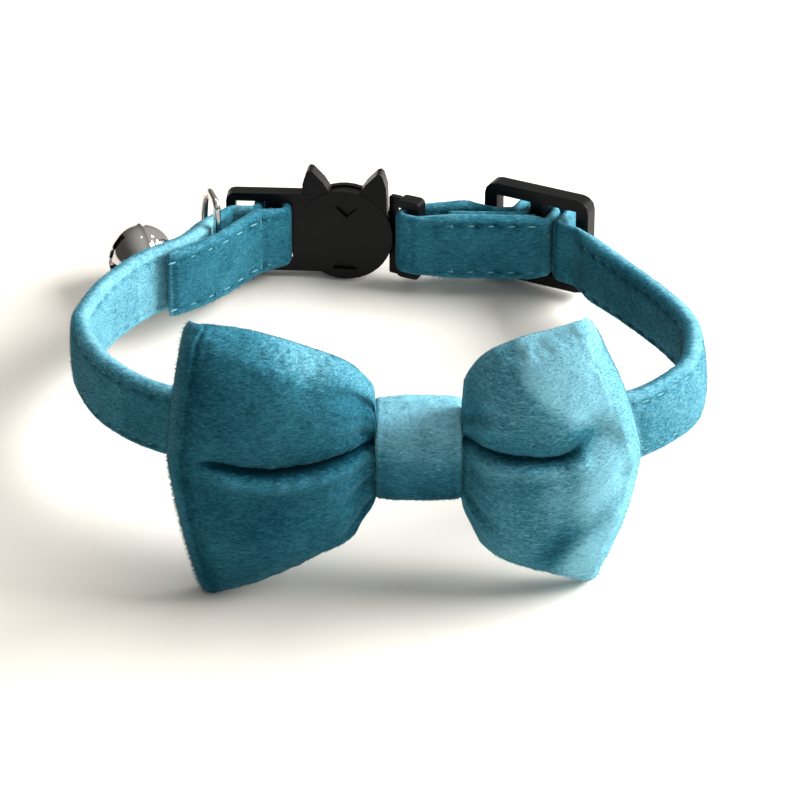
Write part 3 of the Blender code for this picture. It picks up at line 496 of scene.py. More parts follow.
# A point of a wing: u from the knot to the edge, q from the lower to the upper rim, side -1 in
# front and 1 behind
def wingPoint(wing, u, q, side, creased=1.0):
    s, w, c = bowSizes, wingShape, creaseShape
    height, front, back, _ = wingValue(wing, u)
    direction = wing["side"]
    z = q * height * s["wingHeight"] / 2
    rounded = rounding(q, s["wingRound"])
    middle = s["back"] - s["backBulge"] * back - wing["forward"] * u * u
    curve = wing["edgeBow"] * abs(q) ** s["edgeCurve"] + wing["edgeLean"] * q
    cut = max(0.0, (abs(q) - s["cornerFrom"]) / (1 - s["cornerFrom"])) ** 4
    length = wing["length"] - curve * smoothStep(u, 0.05, 0.5) - s["corner"] * cut * smoothStep(u, 0.6, 1.0)
    x = s["middle"] + direction * (s["knotWidth"] / 2 + length * u)
    fromEdge = (1 - u) * length
    if side < 0:
        depth = s["frontBulge"] * front * rounded
        away = awayFromCrease(wing, u, q)
        fade = creased * creaseFade(wing, u)
        valley = c["coreShare"] * bump(away, 0, c["core"])
        valley += (1 - c["coreShare"]) * bump(away, 0, c["above"] if away > 0 else c["below"])
        depth += fade * (c["lip"] * bump(away, c["lipAt"], c["width"]) - s["crease"] * valley)
        z -= c["sag"] * fade * bump(away, c["sagAt"], c["width"])
        pleats = w["pleat"] * sin(q * 17 + 1.3 * direction) + w["smallPleat"] * sin(q * 29 + 2.0)
        depth += pleats * bump(u, w["pleatAt"], w["pleatWide"]) * (1 - bump(q, 0, 0.2))
        if direction < 0:
            ridge = sin(fromEdge * 2 * pi / w["ridgePitch"]) * (1 - smoothStep(fromEdge, *w["ridgeTo"]))
            depth += w["ridge"] * ridge * smoothStep(fromEdge, *w["ridgeFrom"])
        else:
            depth -= w["hollow"] * bump(u, w["hollowAt"], 0.10) * bump(away, 0.5, 3.0)
        depth += w["seam"] * bump(fromEdge, w["seamIn"], w["seamWide"]) * smoothStep(u, 0.6, 0.8)
    else:
        depth = s["backBulge"] * back * rounded
    lump = waver(w["lump"], x * 0.14, z * 0.14, side * 7.0)
    lump += waver(w["smallLump"], x * 0.42, z * 0.42, side * 3.0)
    y = middle + side * (depth + lump * rounded * smoothStep(u, 0.05, 0.3))
    lift = s["waistLift"] + (s["lift"] - s["waistLift"]) * min(1.0, u / s["liftBy"])
    return (x, y, lift + z)


# How light the velvet is, from the way its pile is stroked and from painted light and shade. The left wing
# is painted dark, as it faces away from the light, with a painted highlight on its upper rim. The right wing
# is painted light towards its edge, where it faces the light, with painted shade in a dimple and a dark
# slanting streak. The crease gets painted shade with a painted highlight on its lower lip.
# Levels for the bow's nap value, most of them painted light and shade. left and right set the wings, the
# left in painted shade and the right in painted light. shadow, core, dimple, inner and border are painted
# shade. lip, rim, sheen, outer, under and top are painted highlights and light. edge paints a highlight at
# the outer edge with shade just inside it, low makes it darker towards the bottom, streak is a dark slanting
# streak and wave is random.
napAndShadeLook = {
    "back": 0.30, "left": 0.19, "right": 0.47, "wave": 0.10, "shadow": -0.16, "core": -1.10, "lip": 0.16,
    "rim": 0.36, "sheen": 0.10, "edge": 0.10, "low": -0.04, "outer": 0.46, "streak": -0.36, "under": 0.16,
    "dimple": -0.52, "inner": -0.16, "border": -0.22, "top": 0.12,
}


def bowNap(wing, u, q, x, z, side):
    n = napAndShadeLook
    if side > 0:
        return n["back"]
    away, fade = awayFromCrease(wing, u, q), creaseFade(wing, u)
    level = waver(n["wave"], x * 0.13, z * 0.13, 1.0)
    # Painted shade along the crease, black in its core, and a painted highlight on its lower lip
    level += fade * n["shadow"] * bump(away, 0.4, 3.0 if away > 0.4 else 0.6)
    level += fade * n["core"] * bump(away, 0.0, 0.70 if away > 0 else 0.50)
    level += fade * n["lip"] * bump(away, -1.6, 0.9)
    if wing["side"] < 0:
        # Left wing: painted highlight on the upper rim, a painted sheen, a painted highlight at the outer
        # edge with painted shade just inside it, darker towards the bottom
        rimFrom = 0.86 - 0.22 * (1 - u)
        level += n["rim"] * smoothStep(q, rimFrom, 0.97) * (1 - 0.65 * smoothStep(u, 0.35, 0.75))
        level += n["sheen"] * bump(u, 0.30, 0.25) * bump(q, 0.55, 0.4)
        level += n["edge"] * (smoothStep(u, 0.93, 0.98) - bump(u, 0.90, 0.03))
        return n["left"] + level + n["low"] * smoothStep(-q, 0.1, 0.7)
    # Right wing: painted light on the outer part facing the light, a dark slanting streak, painted light
    # below the crease, painted shade in the dimple, next to the knot and along the outer border, painted
    # light at the top
    bend = 0.40 + 0.30 * smoothStep(1 - q, 0.15, 0.75) if q > 0.1 else 0.67
    slant = q + 0.33 + 1.31 * (0.84 - u)
    level += n["outer"] * smoothStep(u, bend - 0.07, bend + 0.10)
    level += n["streak"] * bump(slant, 0, 0.16) * smoothStep(u, 0.42, 0.62) * (1 - smoothStep(u, 0.86, 0.95))
    level += n["under"] * bump(q, -0.22, 0.22) * smoothStep(u, 0.30, 0.60)
    level += n["dimple"] * bump(u, 0.73, 0.10) * bump(away, 1.0, 2.2)
    level += n["inner"] * bump(u, 0.04, 0.07) + n["border"] * smoothStep(u, 0.90, 0.96)
    return n["right"] + level + n["top"] * smoothStep(q, 0.6, 1.0)


def bowFuzz(wing, u, q):
    return 1 - 0.85 * min(1.0, wingValue(wing, u)[3]) * bump(awayFromCrease(wing, u, q), 0.0, 1.6)


def bowPoint(wing, u, side, q, creased):
    if wing:
        return wingPoint(wing, u, q, side, creased)
    s = bowSizes
    x = s["middle"] + u * s["knotWidth"] / 2
    y = s["back"] - s["waistDepth"] / 2 * (1 - side * rounding(q, s["waistRound"]))
    return (x, y, s["knotRaise"] / 2 + q * s["waistHeight"] / 2)


def bowRings(rowCount, stationCount):
    rows = [(sin(pi / 2 * v) + v) / 2 for v in np.linspace(1, -1, rowCount)]
    edge = 0.10
    rounds = 1 - edge * np.cos(np.linspace(0, pi / 2, 12))
    stations = [*np.linspace(0.012, 1 - edge, stationCount), *rounds[1:]]
    around = [(-1, q) for q in rows] + [(1, q) for q in reversed(rows[1:-1])]
    places = [(wings["left"], u) for u in reversed(stations)]
    places += [(None, share) for share in (-0.98, -0.5, 0.0, 0.5, 0.98)]
    places += [(wings["right"], u) for u in stations]
    return [(wing, u, side, q) for wing, u in places for side, q in around], len(places), len(around)


# The stuffed bow is blown up as cloth at twenty times its size. The finished bow takes over how
# far each place moved.
clothSizes = {
    "scale": 20.0, "voxel": 1.3, "pressure": 4.0, "grow": -0.035, "frames": 20, "cap": 0.50,
    "backShare": 0.15, "rows": 41, "stations": 30,
}
clothSettings = {
    "quality": 6, "mass": 0.3, "tension_stiffness": 12.0, "compression_stiffness": 12.0,
    "bending_stiffness": 0.4, "shrink_min": clothSizes["grow"], "use_pressure": True,
    "uniform_pressure_force": clothSizes["pressure"], "vertex_group_mass": "held",
}


# The waist, the outer edges, the rims and the crease are held, so only the stuffed faces swell
def heldWeight(x, z):
    wing = wings["left"] if x < bowSizes["middle"] else wings["right"]
    u = (abs(x - bowSizes["middle"]) - bowSizes["knotWidth"] / 2) / wing["length"]
    half = wingAt(min(max(u, 0.0), 1.0))[0 if wing["side"] < 0 else 1] * bowSizes["wingHeight"] / 2
    high = z - bowSizes["lift"]
    crease = bump(high - creaseLine(wing["side"], u), 0, 1.4) * (1 - smoothStep(u, 0.70, 0.90))
    rim = 0.6 * smoothStep(abs(high) / half, 0.90, 1.0)
    return min(1.0, max(1 - smoothStep(u, 0.02, 0.16), smoothStep(u, 0.88, 0.96), crease, rim))


def clothMoves():
    spots, ringCount, size = bowRings(clothSizes["rows"], clothSizes["stations"])
    unit = clothSizes["scale"] / 1000
    points = [Vector(bowPoint(*spot, 0.0)) * unit for spot in spots]
    mesh = bpy.data.meshes.new("pad")
    mesh.from_pydata(points, [], ringFaces(ringCount, size))
    pad = addObject("pad", mesh)
    remesh = pad.modifiers.new("remesh", "REMESH")
    remesh.mode = "VOXEL"
    remesh.voxel_size = clothSizes["voxel"] * unit
    evaluated(pad)
    start = [v.co.copy() for v in pad.data.vertices]
    held = pad.vertex_groups.new(name="held")
    for i, place in enumerate(start):
        held.add([i], heldWeight(place.x / unit, place.z / unit), "REPLACE")
    cloth = pad.modifiers.new("cloth", "CLOTH")
    for name, value in clothSettings.items():
        setattr(cloth.settings, name, value)
    cloth.settings.effector_weights.gravity = 0.0
    cloth.point_cache.frame_start = 1
    cloth.point_cache.frame_end = clothSizes["frames"]
    for frame in range(1, clothSizes["frames"] + 1):
        scene.frame_set(frame)
    blown = pad.evaluated_get(bpy.context.evaluated_depsgraph_get())
    moves = [(v.co - place) / unit for v, place in zip(blown.data.vertices, start)]
    tree = KDTree(len(start))
    for i, place in enumerate(start):
        tree.insert(place / unit, i)
    tree.balance()
    pad.modifiers.clear()
    bpy.data.objects.remove(pad)
    scene.frame_set(1)
    return tree, moves


def swollen(points, backs):
    tree, moves = clothMoves()
    made, longest = [], 0.0
    for (plain, point), back in zip(points, backs):
        near = tree.find_n(plain, 5)
        weights = [1 / (0.2 + distance) ** 2 for _, _, distance in near]
        move = sum((moves[i] * w for (_, i, _), w in zip(near, weights)), Vector()) / sum(weights)
        longest = max(longest, move.length)
        move *= min(1.0, clothSizes["cap"] / max(1e-6, move.length))
        move *= clothSizes["backShare"] if back else 1.0
        made.append(tuple(Vector(point) + move))
    print("cloth: longest move", round(longest, 2), "mm, of", len(moves), "points")
    return made


def makeBow():
    spots, ringCount, size = bowRings(bowSizes["rows"], bowSizes["stations"])
    points = [(bowPoint(*spot, 0.0), bowPoint(*spot, 1.0)) for spot in spots]
    rings = swollen(points, [side > 0 for _, _, side, _ in spots])
    napAndShade, fuzz = [], []
    for (wing, u, side, q), point in zip(spots, rings):
        napAndShade.append(bowNap(wing, u, q, point[0], point[2], side) if wing else 0.2)
        front = 1 if side < 0 or abs(q) > 0.8 else 0.35
        fuzz.append(smoothStep(u, 0.02, 0.06) * front * bowFuzz(wing, u, q) if wing else 0.0)
    ways = [(1.0 if point[0] > bowSizes["middle"] else -1.0, 0, -0.12) for point in rings]
    bow = velvetPiece("bowVelvet", rings, ringFaces(ringCount, size), napAndShade, fuzz, ways)
    return finished(bow, bowVelvet, "velvet", "bow")


bowPiece = makeBow()
print("bow", len(bowPiece.data.polygons))

# Strap: its run round the neck as shares of the loop's half width and half depth, with its lean
loopSizes = {"width": 91.3, "depth": 67.4, "lean": 8.0}
routeRows = [
    (-0.622, 0.758, 0.0), (-0.684, 0.608, 0.0), (-0.810, 0.452, 0.0), (-0.921, 0.214, 0.0),
    (-0.975, 0.006, 0.0), (-0.997, -0.160, 0.0), (-0.965, -0.345, 0.0), (-0.896, -0.552, 0.0),
    (-0.765, -0.748, 0.0), (-0.600, -0.868, 0.0), (-0.380, -0.950, 0.0), (-0.160, -0.990, 0.0),
    (0.088, -1.000, 0.0), (0.340, -0.990, 0.0), (0.590, -0.945, 0.0), (0.785, -0.850, 0.0),
    (0.914, -0.680, 0.2), (0.975, -0.540, 0.4), (1.000, -0.330, 0.7), (0.992, -0.150, 0.9),
    (0.922, 0.085, 1.0), (0.803, 0.365, 1.0), (0.700, 0.585, 0.5),
]
strapSizes = {
    "width": 11.0, "thickness": 3.1, "layer": 2.4, "layerWidth": 10.9, "pinched": 1.6, "pinchedWidth": 10.1,
    "gap": 0.3, "turnedLength": 19.5, "turned": 2.1, "tailLength": 11.5, "tail": 1.2, "ringWire": 1.2,
    "pinchedBend": 0.75,
}
buckleSizes = {
    "head": 15.2, "headPlace": (-0.142, 0.990), "headAngle": -8, "leftAngle": -3, "rightAngle": -26,
    "arm": 2.3, "leftArm": 18.7, "rightArm": 4.9, "bar": 2.0, "endBar": 1.5, "foldAt": 0.505,
    "sliderPlace": (0.520, 0.905), "sliderAngle": -27, "slider": 2.6, "sliderLength": 17.8, "sliderEnd": 2.1,
    "sliderMiddle": 2.0,
}
strapLook = {
    "spacing": 0.45, "edgeRound": 1.25, "edgePower": 2.2, "stitchInset": 1.45, "grooveDepth": 0.34,
    "grooveWidth": 0.40, "stitchPitch": 3.1, "quilt": 0.12, "ripple": 0.05, "settle": 0.97,
}
halfWidth, halfDepth = loopSizes["width"] / 2, loopSizes["depth"] / 2


class Plan:
    def __init__(self, x, y, turn):
        self.x, self.y, self.turn = x, y, radians(turn)

    def point(self, u, v):
        c, s = cos(self.turn), sin(self.turn)
        return Vector((self.x + u * c - v * s, self.y + u * s + v * c))


def planAt(name):
    across, deep = buckleSizes[name + "Place"]
    return Plan(across * halfWidth, deep * halfDepth, buckleSizes[name + "Angle"])


headPlan, sliderPlan = planAt("head"), planAt("slider")
leftPlan = Plan(headPlan.x, headPlan.y, buckleSizes["leftAngle"])
rightPlan = Plan(*headPlan.point(buckleSizes["head"] / 2, 0), buckleSizes["rightAngle"])


# A stop of the strap's middle line: place, thickness, width, bend radius at a corner, and lean
def stop(place, thickness, width=strapSizes["width"], bend=0.0, lean=0.0):
    return np.array((place[0], place[1], thickness, width, bend, lean))


def threaded(rows):
    s = strapSizes
    wide = {True: s["layerWidth"], False: s["pinchedWidth"]}
    return [stop(place, thick, wide[thick == s["layer"]], bend) for place, thick, bend in rows]


def catmull(values, steps):
    ends = [values[0], *values, values[-1]]
    made = []
    for a, b, c, d in zip(ends, ends[1:], ends[2:], ends[3:]):
        for i in range(steps):
            t = i / steps
            curve = (2 * a - 5 * b + 4 * c - d) * t**2 + (3 * b - a - 3 * c + d) * t**3
            made.append(0.5 * (2 * b + (c - a) * t + curve))
    return [*made, values[-1]]


def meeting(start, way, other, otherWay):
    gap = other - start
    along = (gap.x * otherWay.y - gap.y * otherWay.x) / (way.x * otherWay.y - way.y * otherWay.x)
    return start + way * along


# From the sewn end round the slider's middle bar to the buckle, and back through the slider
def sliderStops():
    s, b = strapSizes, buckleSizes
    pinched, layer, tail, gap, end = s["pinched"], s["layer"], s["tail"], s["gap"], b["sliderEnd"]
    plug, slider = rightPlan.point, sliderPlan.point
    offset, bend = gap + pinched / 2, pinched * s["pinchedBend"]
    wrapU, wrapV = b["sliderMiddle"] / 2 + offset, b["slider"] / 2 + offset
    weaveU, weaveV = wrapU + gap + pinched, wrapV + gap + pinched
    barSide = b["arm"] / 2 + gap + pinched / 2
    endBar = b["sliderLength"] / 2 - end / 2
    rightBar = b["rightArm"] - b["bar"] / 2
    rightFold = rightBar - b["bar"] / 2 - offset
    nearBuckle = plug(b["rightArm"], -barSide)
    nearSlider = slider(wrapU * 0.4, -wrapV - (layer - pinched) / 2)
    way = (nearSlider - nearBuckle).normalized()
    out = Vector((-way.y, way.x))
    slotWay = slider(-wrapU, 1) - slider(-wrapU, 0)
    tailTurn = meeting(nearSlider + out * ((layer + tail) / 2 + gap), way, slider(-wrapU, 0), slotWay)
    tailTop = tailTurn + out * (tail + pinched + 2 * gap) / 2
    thin, thinV = pinched * 0.8, -b["slider"] / 2 - gap * 1.3 - pinched * 0.4
    return threaded([
        (tailTurn - way * s["tailLength"], tail, 0),
        (tailTurn - way * tail, tail, 0),
        (tailTurn, tail, bend),
        (slider(-wrapU, wrapV), pinched, bend),
        (slider(wrapU, wrapV), pinched, bend),
        (slider(wrapU, -wrapV), pinched, bend),
        (nearSlider, layer, bend),
        (nearBuckle.lerp(nearSlider, 0.3), layer, bend),
        (nearBuckle, pinched, 2 * bend),
        (plug(rightFold, -barSide), pinched, bend),
        (plug(rightFold, barSide), pinched, bend),
        (plug(rightBar, barSide), pinched, bend),
        (slider(-endBar - end * 1.6, thinV - layer * 0.25), layer, bend),
        (slider(-endBar - end * 0.7, thinV), thin, bend),
        (slider(-endBar + end * 0.6, thinV), thin, bend),
        (meeting(tailTop, way, slider(-weaveU, 0), slotWay), thin, bend),
        (slider(-weaveU, weaveV), pinched, bend),
        (slider(weaveU, weaveV), pinched, bend),
        (slider(weaveU, -wrapV), pinched, bend),
        (slider(endBar, -wrapV - pinched * 0.35), pinched, bend),
    ])


# Round the left frame of the buckle
def foldStops():
    s, b = strapSizes, buckleSizes
    pinched, layer, gap = s["pinched"], s["layer"], s["gap"]
    offset, bend = gap + pinched / 2, pinched * s["pinchedBend"]
    armSide = b["arm"] / 2 + gap
    fold = b["leftArm"] * b["foldAt"] - 0.24
    slot = -(b["leftArm"] * b["foldAt"] + 2 * offset + b["bar"])
    return threaded([
        (leftPlan.point(-b["leftArm"] + b["endBar"] / 2, -armSide - pinched / 2), pinched, bend),
        (leftPlan.point(slot, -armSide - pinched / 2), pinched, bend),
        (leftPlan.point(slot, armSide + pinched / 2), pinched, bend),
        (leftPlan.point(-fold, armSide + pinched / 2), pinched, bend),
        (leftPlan.point(-fold, -armSide - layer / 2), pinched, bend),
        (leftPlan.point(slot, -armSide - gap - pinched - layer / 2), layer, 2 * bend),
    ])


def turnedEnd(start, run, leftEnd):
    s = strapSizes
    outer = [Vector(leftEnd[:2]), *[Vector(row[:2]) for row in reversed(run)]]
    apart = s["thickness"] / 2 + s["gap"] + s["turned"] / 2
    made, gone = [], 0.0
    for before, here, after in zip(outer, outer[1:], outer[2:]):
        gone += (here - before).length
        if gone > s["turnedLength"]:
            break
        way = (after - before).normalized()
        fromRing = (here - outer[1]).length
        room = (s["ringWire"] + s["gap"]) * exp(-(fromRing / (3.6 * s["ringWire"])) ** 2)
        place = here + Vector((-way.y, way.x)) * (apart + room)
        if (place - Vector(start[:2])).length > 2 * s["turned"]:
            made.append(stop(place, s["turned"]))
    return made


def cornered(stops):
    made = [stops[0]]
    for before, here, after in zip(stops, stops[1:], stops[2:]):
        wayIn, wayOut = (here - before)[:2], (after - here)[:2]
        lengthIn, lengthOut = hypot(*wayIn), hypot(*wayOut)
        cross = wayIn[0] * wayOut[1] - wayIn[1] * wayOut[0]
        angle = atan2(cross, wayIn[0] * wayOut[0] + wayIn[1] * wayOut[1])
        if here[4] == 0 or abs(angle) < radians(4):
            made.append(here)
            continue
        reach = min(here[4] * tan(abs(angle) / 2), 0.49 * lengthIn, 0.49 * lengthOut)
        radius = reach / tan(abs(angle) / 2)
        start = here[:2] - wayIn / lengthIn * reach
        side = np.array((-wayIn[1], wayIn[0])) / lengthIn * (1 if angle > 0 else -1)
        centre = start + side * radius
        arm = start - centre
        for turn in angle * np.arange(9) / 8:
            c, s = cos(turn), sin(turn)
            spun = np.array((arm[0] * c - arm[1] * s, arm[0] * s + arm[1] * c))
            made.append(np.array((*(centre + spun), *here[2:])))
    made.append(stops[-1])
    return made


def strapLine():
    thick, most = strapSizes["thickness"], loopSizes["lean"]
    route = [stop((x * halfWidth, y * halfDepth), thick, lean=lean * most) for x, y, lean in routeRows]
    run = list(reversed(catmull(route, 10)))
    fold = foldStops()
    stops = [*sliderStops(), *run, *fold, *turnedEnd(fold[-1], run, fold[0])]
    path = cornered(stops)
    even = [path[0]]
    for one, two in zip(path, path[1:]):
        gap = hypot(*(two - one)[:2])
        parts = max(1, round(gap / strapLook["spacing"]))
        if gap > 0.05:
            even += [one + (two - one) * i / parts for i in range(1, parts + 1)]
    line = np.array(even)
    for _ in range(4):  # eases thickness and lean, and the run where it has no corners
        middle = (line[:-2] + 2 * line[1:-1] + line[2:]) / 4
        soft = np.where(line[1:-1, 4:5] == 0, 1.0, 0.0)
        line[1:-1, :2] += (middle - line[1:-1])[:, :2] * np.maximum(soft, 0.12)
        line[1:-1, 2:4] = middle[:, 2:4]
        line[1:-1, 5] = middle[:, 5]
    return line


def strapFrame(line, i):
    x, y, thick, width, _, lean = line[i]
    before, after = line[max(i - 1, 0)], line[min(i + 1, len(line) - 1)]
    way = Vector((after - before)[:2]).normalized()
    flat = Vector((way.y, -way.x, 0))
    out = flat * cos(radians(lean)) - Vector((0, 0, sin(radians(lean))))
    up = Vector((0, 0, cos(radians(lean)))) + flat * sin(radians(lean))
    return Vector((x, y, 0)), thick, width, Vector((way.x, way.y, 0)), out, up


def strapAcross():
    half = [0.0, 0.12, 0.26, 0.40, 0.54, 0.64, 0.69, 0.735, 0.78, 0.83, 0.88, 0.93, 0.97, 0.993]
    return [*[-v for v in reversed(half[1:])], *half]


# The strap is lighter where it faces the light at the right, and darker in the shade of the left fold
def strapNap(place, facing, across, along, z, thick):
    base = 0.43 + (0.12 if place.x < 0 and facing.x < 0 else 0.22) * facing.x
    if place.x > 0:
        base -= 0.08
    if place.x < -14 and place.y > 15 and thick < 2.6:
        base -= 0.10 + 0.45 * max(0.0, facing.x)
    if place.y > 26 and place.x > 4 and facing.y < 0:
        base -= 0.10
    if place.x < -20 and place.y > 12 and facing.y < -0.3:
        base += 0.10
    # Painted highlights along both rolled edges of the strap
    base += 0.16 * smoothStep(z, 4.2, 5.5) + 0.10 * smoothStep(-z, 4.4, 5.5)
    wave = waver(0.09, along * 0.11, across * 1.3, 4.0)
    return base + wave + waver(0.07, along * 0.33, across * 2.0, facing.x * 9.0)


def makeStrap():
    look = strapLook
    line = strapLine()
    across = strapAcross()
    points, napAndShade, fuzz, ways, lengths = [], [], [], [], []
    count = len(line)
    along = 0.0
    rowPlace = 1 - look["stitchInset"] / (strapSizes["width"] / 2)
    for i in range(count):
        place, thick, width, way, out, up = strapFrame(line, i)
        half = width / 2
        along += hypot(*(line[i] - line[i - 1])[:2]) if i else 0.0
        lengths.append(along)
        full = smoothStep(thick, 1.7, 2.3)
        close = min(1.0, min(i, count - 1 - i) * 0.22 + 0.45)
        behindBow = bump(place.x, bowSizes["middle"], 8.5) if place.y < -30 else 0
        clear = smoothStep(thick, 1.75, 2.05) * (1 - behindBow)
        beat = 0.55 + 0.45 * cos(2 * pi * along / look["stitchPitch"])
        for side in (1, -1):
            facing = -out * side
            for share in across if side > 0 else reversed(across):
                fromMiddle = abs(share) * half
                edge = max(0.0, (fromMiddle - (half - look["edgeRound"])) / look["edgeRound"])
                bulge = sqrt(max(0.0, 1 - edge ** look["edgePower"]))
                quilt = 1 + look["quilt"] * full * max(0.0, 1 - (share / rowPlace) ** 2)
                groove = look["grooveDepth"] * full * beat
                groove *= bump(fromMiddle, half - look["stitchInset"], look["grooveWidth"])
                ripple = full * waver(look["ripple"], along * 0.5, share * 3, side * 5.0)
                depth = thick / 2 * bulge * quilt * close * look["settle"] - groove + ripple
                points.append(place + facing * depth + up * (share * half))
                # The stitch groove is also painted darker: painted shade in the recess
                napAndShade.append(strapNap(place, facing, share, along, share * half, thick) - 0.5 * groove)
                fuzz.append(clear)
                ways.append(way)
    strap = velvetPiece("strapVelvet", points, ringFaces(count, 2 * len(across)), napAndShade, fuzz, ways)
    return finished(strap, strapVelvet, "velvet", "strap"), line, lengths


strapPiece, strapPath, strapLengths = makeStrap()
print("strap", len(strapPiece.data.polygons))

# Knot
knotSizes = {
    "width": 12.3, "front": -42.45, "back": -30.85, "low": -6.35, "high": 6.95, "wall": 0.55,
    "frontRadius": 4.4, "backRadius": 2.9, "around": 150, "across": 33, "puff": 0.30, "seam": 0.07,
    "seamAt": 0.82, "fold": 0.16,
    "edgeFrom": 0.86,
}


def roundedLoop(inset, steps):
    s = knotSizes
    front, back, low, high = s["front"] + inset, s["back"] - inset, s["low"] + inset, s["high"] - inset
    tight, wide = s["backRadius"] - inset, s["frontRadius"] - inset
    corners = (
        (back - tight, high - tight, tight), (front + wide, high - wide, wide),
        (front + wide, low + wide, wide), (back - tight, low + tight, tight),
    )
    points = []
    for quarter, (y, z, radius) in enumerate(corners):
        for i in range(steps):
            angle = (quarter + i / (steps - 1)) * pi / 2
            points.append((y + radius * cos(angle), z + radius * sin(angle)))
    return points


def evenLoop(points, count):
    ring = np.array([*points, points[0]])
    steps = np.hypot(*np.diff(ring, axis=0).T)
    gone = np.concatenate([[0], np.cumsum(steps)])
    spots = np.linspace(0, gone[-1], count, endpoint=False)
    return np.stack([np.interp(spots, gone, ring[:, 0]), np.interp(spots, gone, ring[:, 1])], 1)


def makeKnot():
    s = knotSizes
    count = s["around"]
    outer, inner = evenLoop(roundedLoop(0, 14), count), evenLoop(roundedLoop(s["wall"], 14), count)
    out = outer - np.array([(s["front"] + s["back"]) / 2, (s["low"] + s["high"]) / 2])
    out /= np.linalg.norm(out, axis=1)[:, None]
    points, napAndShade, fuzz, ways = [], [], [], []
    for share in np.linspace(-1, 1, s["across"]):
        far = abs(share)
        drop = s["wall"] * 0.5 * (1 - sqrt(1 - max(0.0, (far - s["edgeFrom"]) / (1 - s["edgeFrom"])) ** 2))
        puff = s["puff"] * (1 - share**2) - s["seam"] * bump(far, s["seamAt"], 0.06)
        # Painted highlight on the band's edges and painted shade in the seam groove
        rim = 0.06 * smoothStep(far, 0.84, 1.0) - 0.05 * bump(far, 0.80, 0.06)
        for i, (spot, way) in enumerate(zip(outer, out)):
            fold = sin(share * 7 + 0.5 * sin(i * 0.12)) * waver(s["fold"], i * 0.06, share * 1.5, 2.0)
            y, z = spot + way * (puff - drop + fold - 0.08)
            x = bowSizes["middle"] + share * s["width"] / 2 + waver(0.12, i * 0.09, share, 0)
            # Painted light and shade: the knot's front and top grow lighter from the bottom up, and the
            # lower back keeps one level
            light = -0.02 + 0.88 * min(1.0, max(0.0, (z + 5.5) / 12.0)) if y < -37 or z > 0 else 0.40
            points.append((x, y, z))
            ways.append((0, -way[1], way[0]))
            napAndShade.append(light + rim + waver(0.10, share * 2, i * 0.08, 6.0))
            fuzz.append(1.0)
    for share in (1.0, 0.0, -1.0):
        x = bowSizes["middle"] + share * (s["width"] / 2 - 0.25)
        points += [(x, y, z) for y, z in inner]
        napAndShade += [0.25] * count
        fuzz += [0.0] * count
        ways += [(0, 0, 1)] * count
    faces = ringFaces(len(points) // count, count, closed=True)
    knot = velvetPiece("knotVelvet", points, faces, napAndShade, fuzz, ways)
    return finished(knot, knotVelvet, "velvet", "knot")


knotPiece = makeKnot()
print("knot", len(knotPiece.data.polygons))

# Fuzz: short pile that stands up from the velvet and roughens its outline
fuzzSizes = {"length": 0.60, "thickness": 0.060, "rise": 0.48, "stray": 0.40}


def startTree(name, rows):
    tree = bpy.data.node_groups.new(name, "GeometryNodeTree")
    for label, kind, value in (("Geometry", "Geometry", None), *rows):
        socket = tree.interface.new_socket(label, in_out="INPUT", socket_type="NodeSocket" + kind)
        if value is not None:
            socket.default_value = value
    addSockets(tree, "OUTPUT", "Geometry", "Geometry")
    return tree, tree.nodes.new("NodeGroupInput").outputs


def endTree(tree, points, shape, rotation, scale, material):
    copies = addNode(
        tree, "GeometryNodeInstanceOnPoints", Points=points, Instance=shape, Rotation=rotation, Scale=scale,
    )
    real = addNode(tree, "GeometryNodeRealizeInstances", Geometry=copies.outputs["Instances"])
    paint = addNode(tree, "GeometryNodeSetMaterial", Geometry=real.outputs["Geometry"], Material=material)
    addNode(tree, "NodeGroupOutput", Geometry=paint.outputs["Geometry"])
    return tree


def grow(piece, tree, values):
    maker = piece.modifiers.new(tree.name, "NODES")
    maker.node_group = tree
    for item in tree.interface.items_tree:
        if item.in_out == "INPUT" and item.name in values:
            maker[item.identifier] = values[item.name]
    evaluated(piece).shade_smooth()


def randomShare(tree, low, high, seed):
    return addNode(
        tree, "FunctionNodeRandomValue", {"data_type": "FLOAT"}, input2=low, input3=high, Seed=seed,
    ).outputs[1]


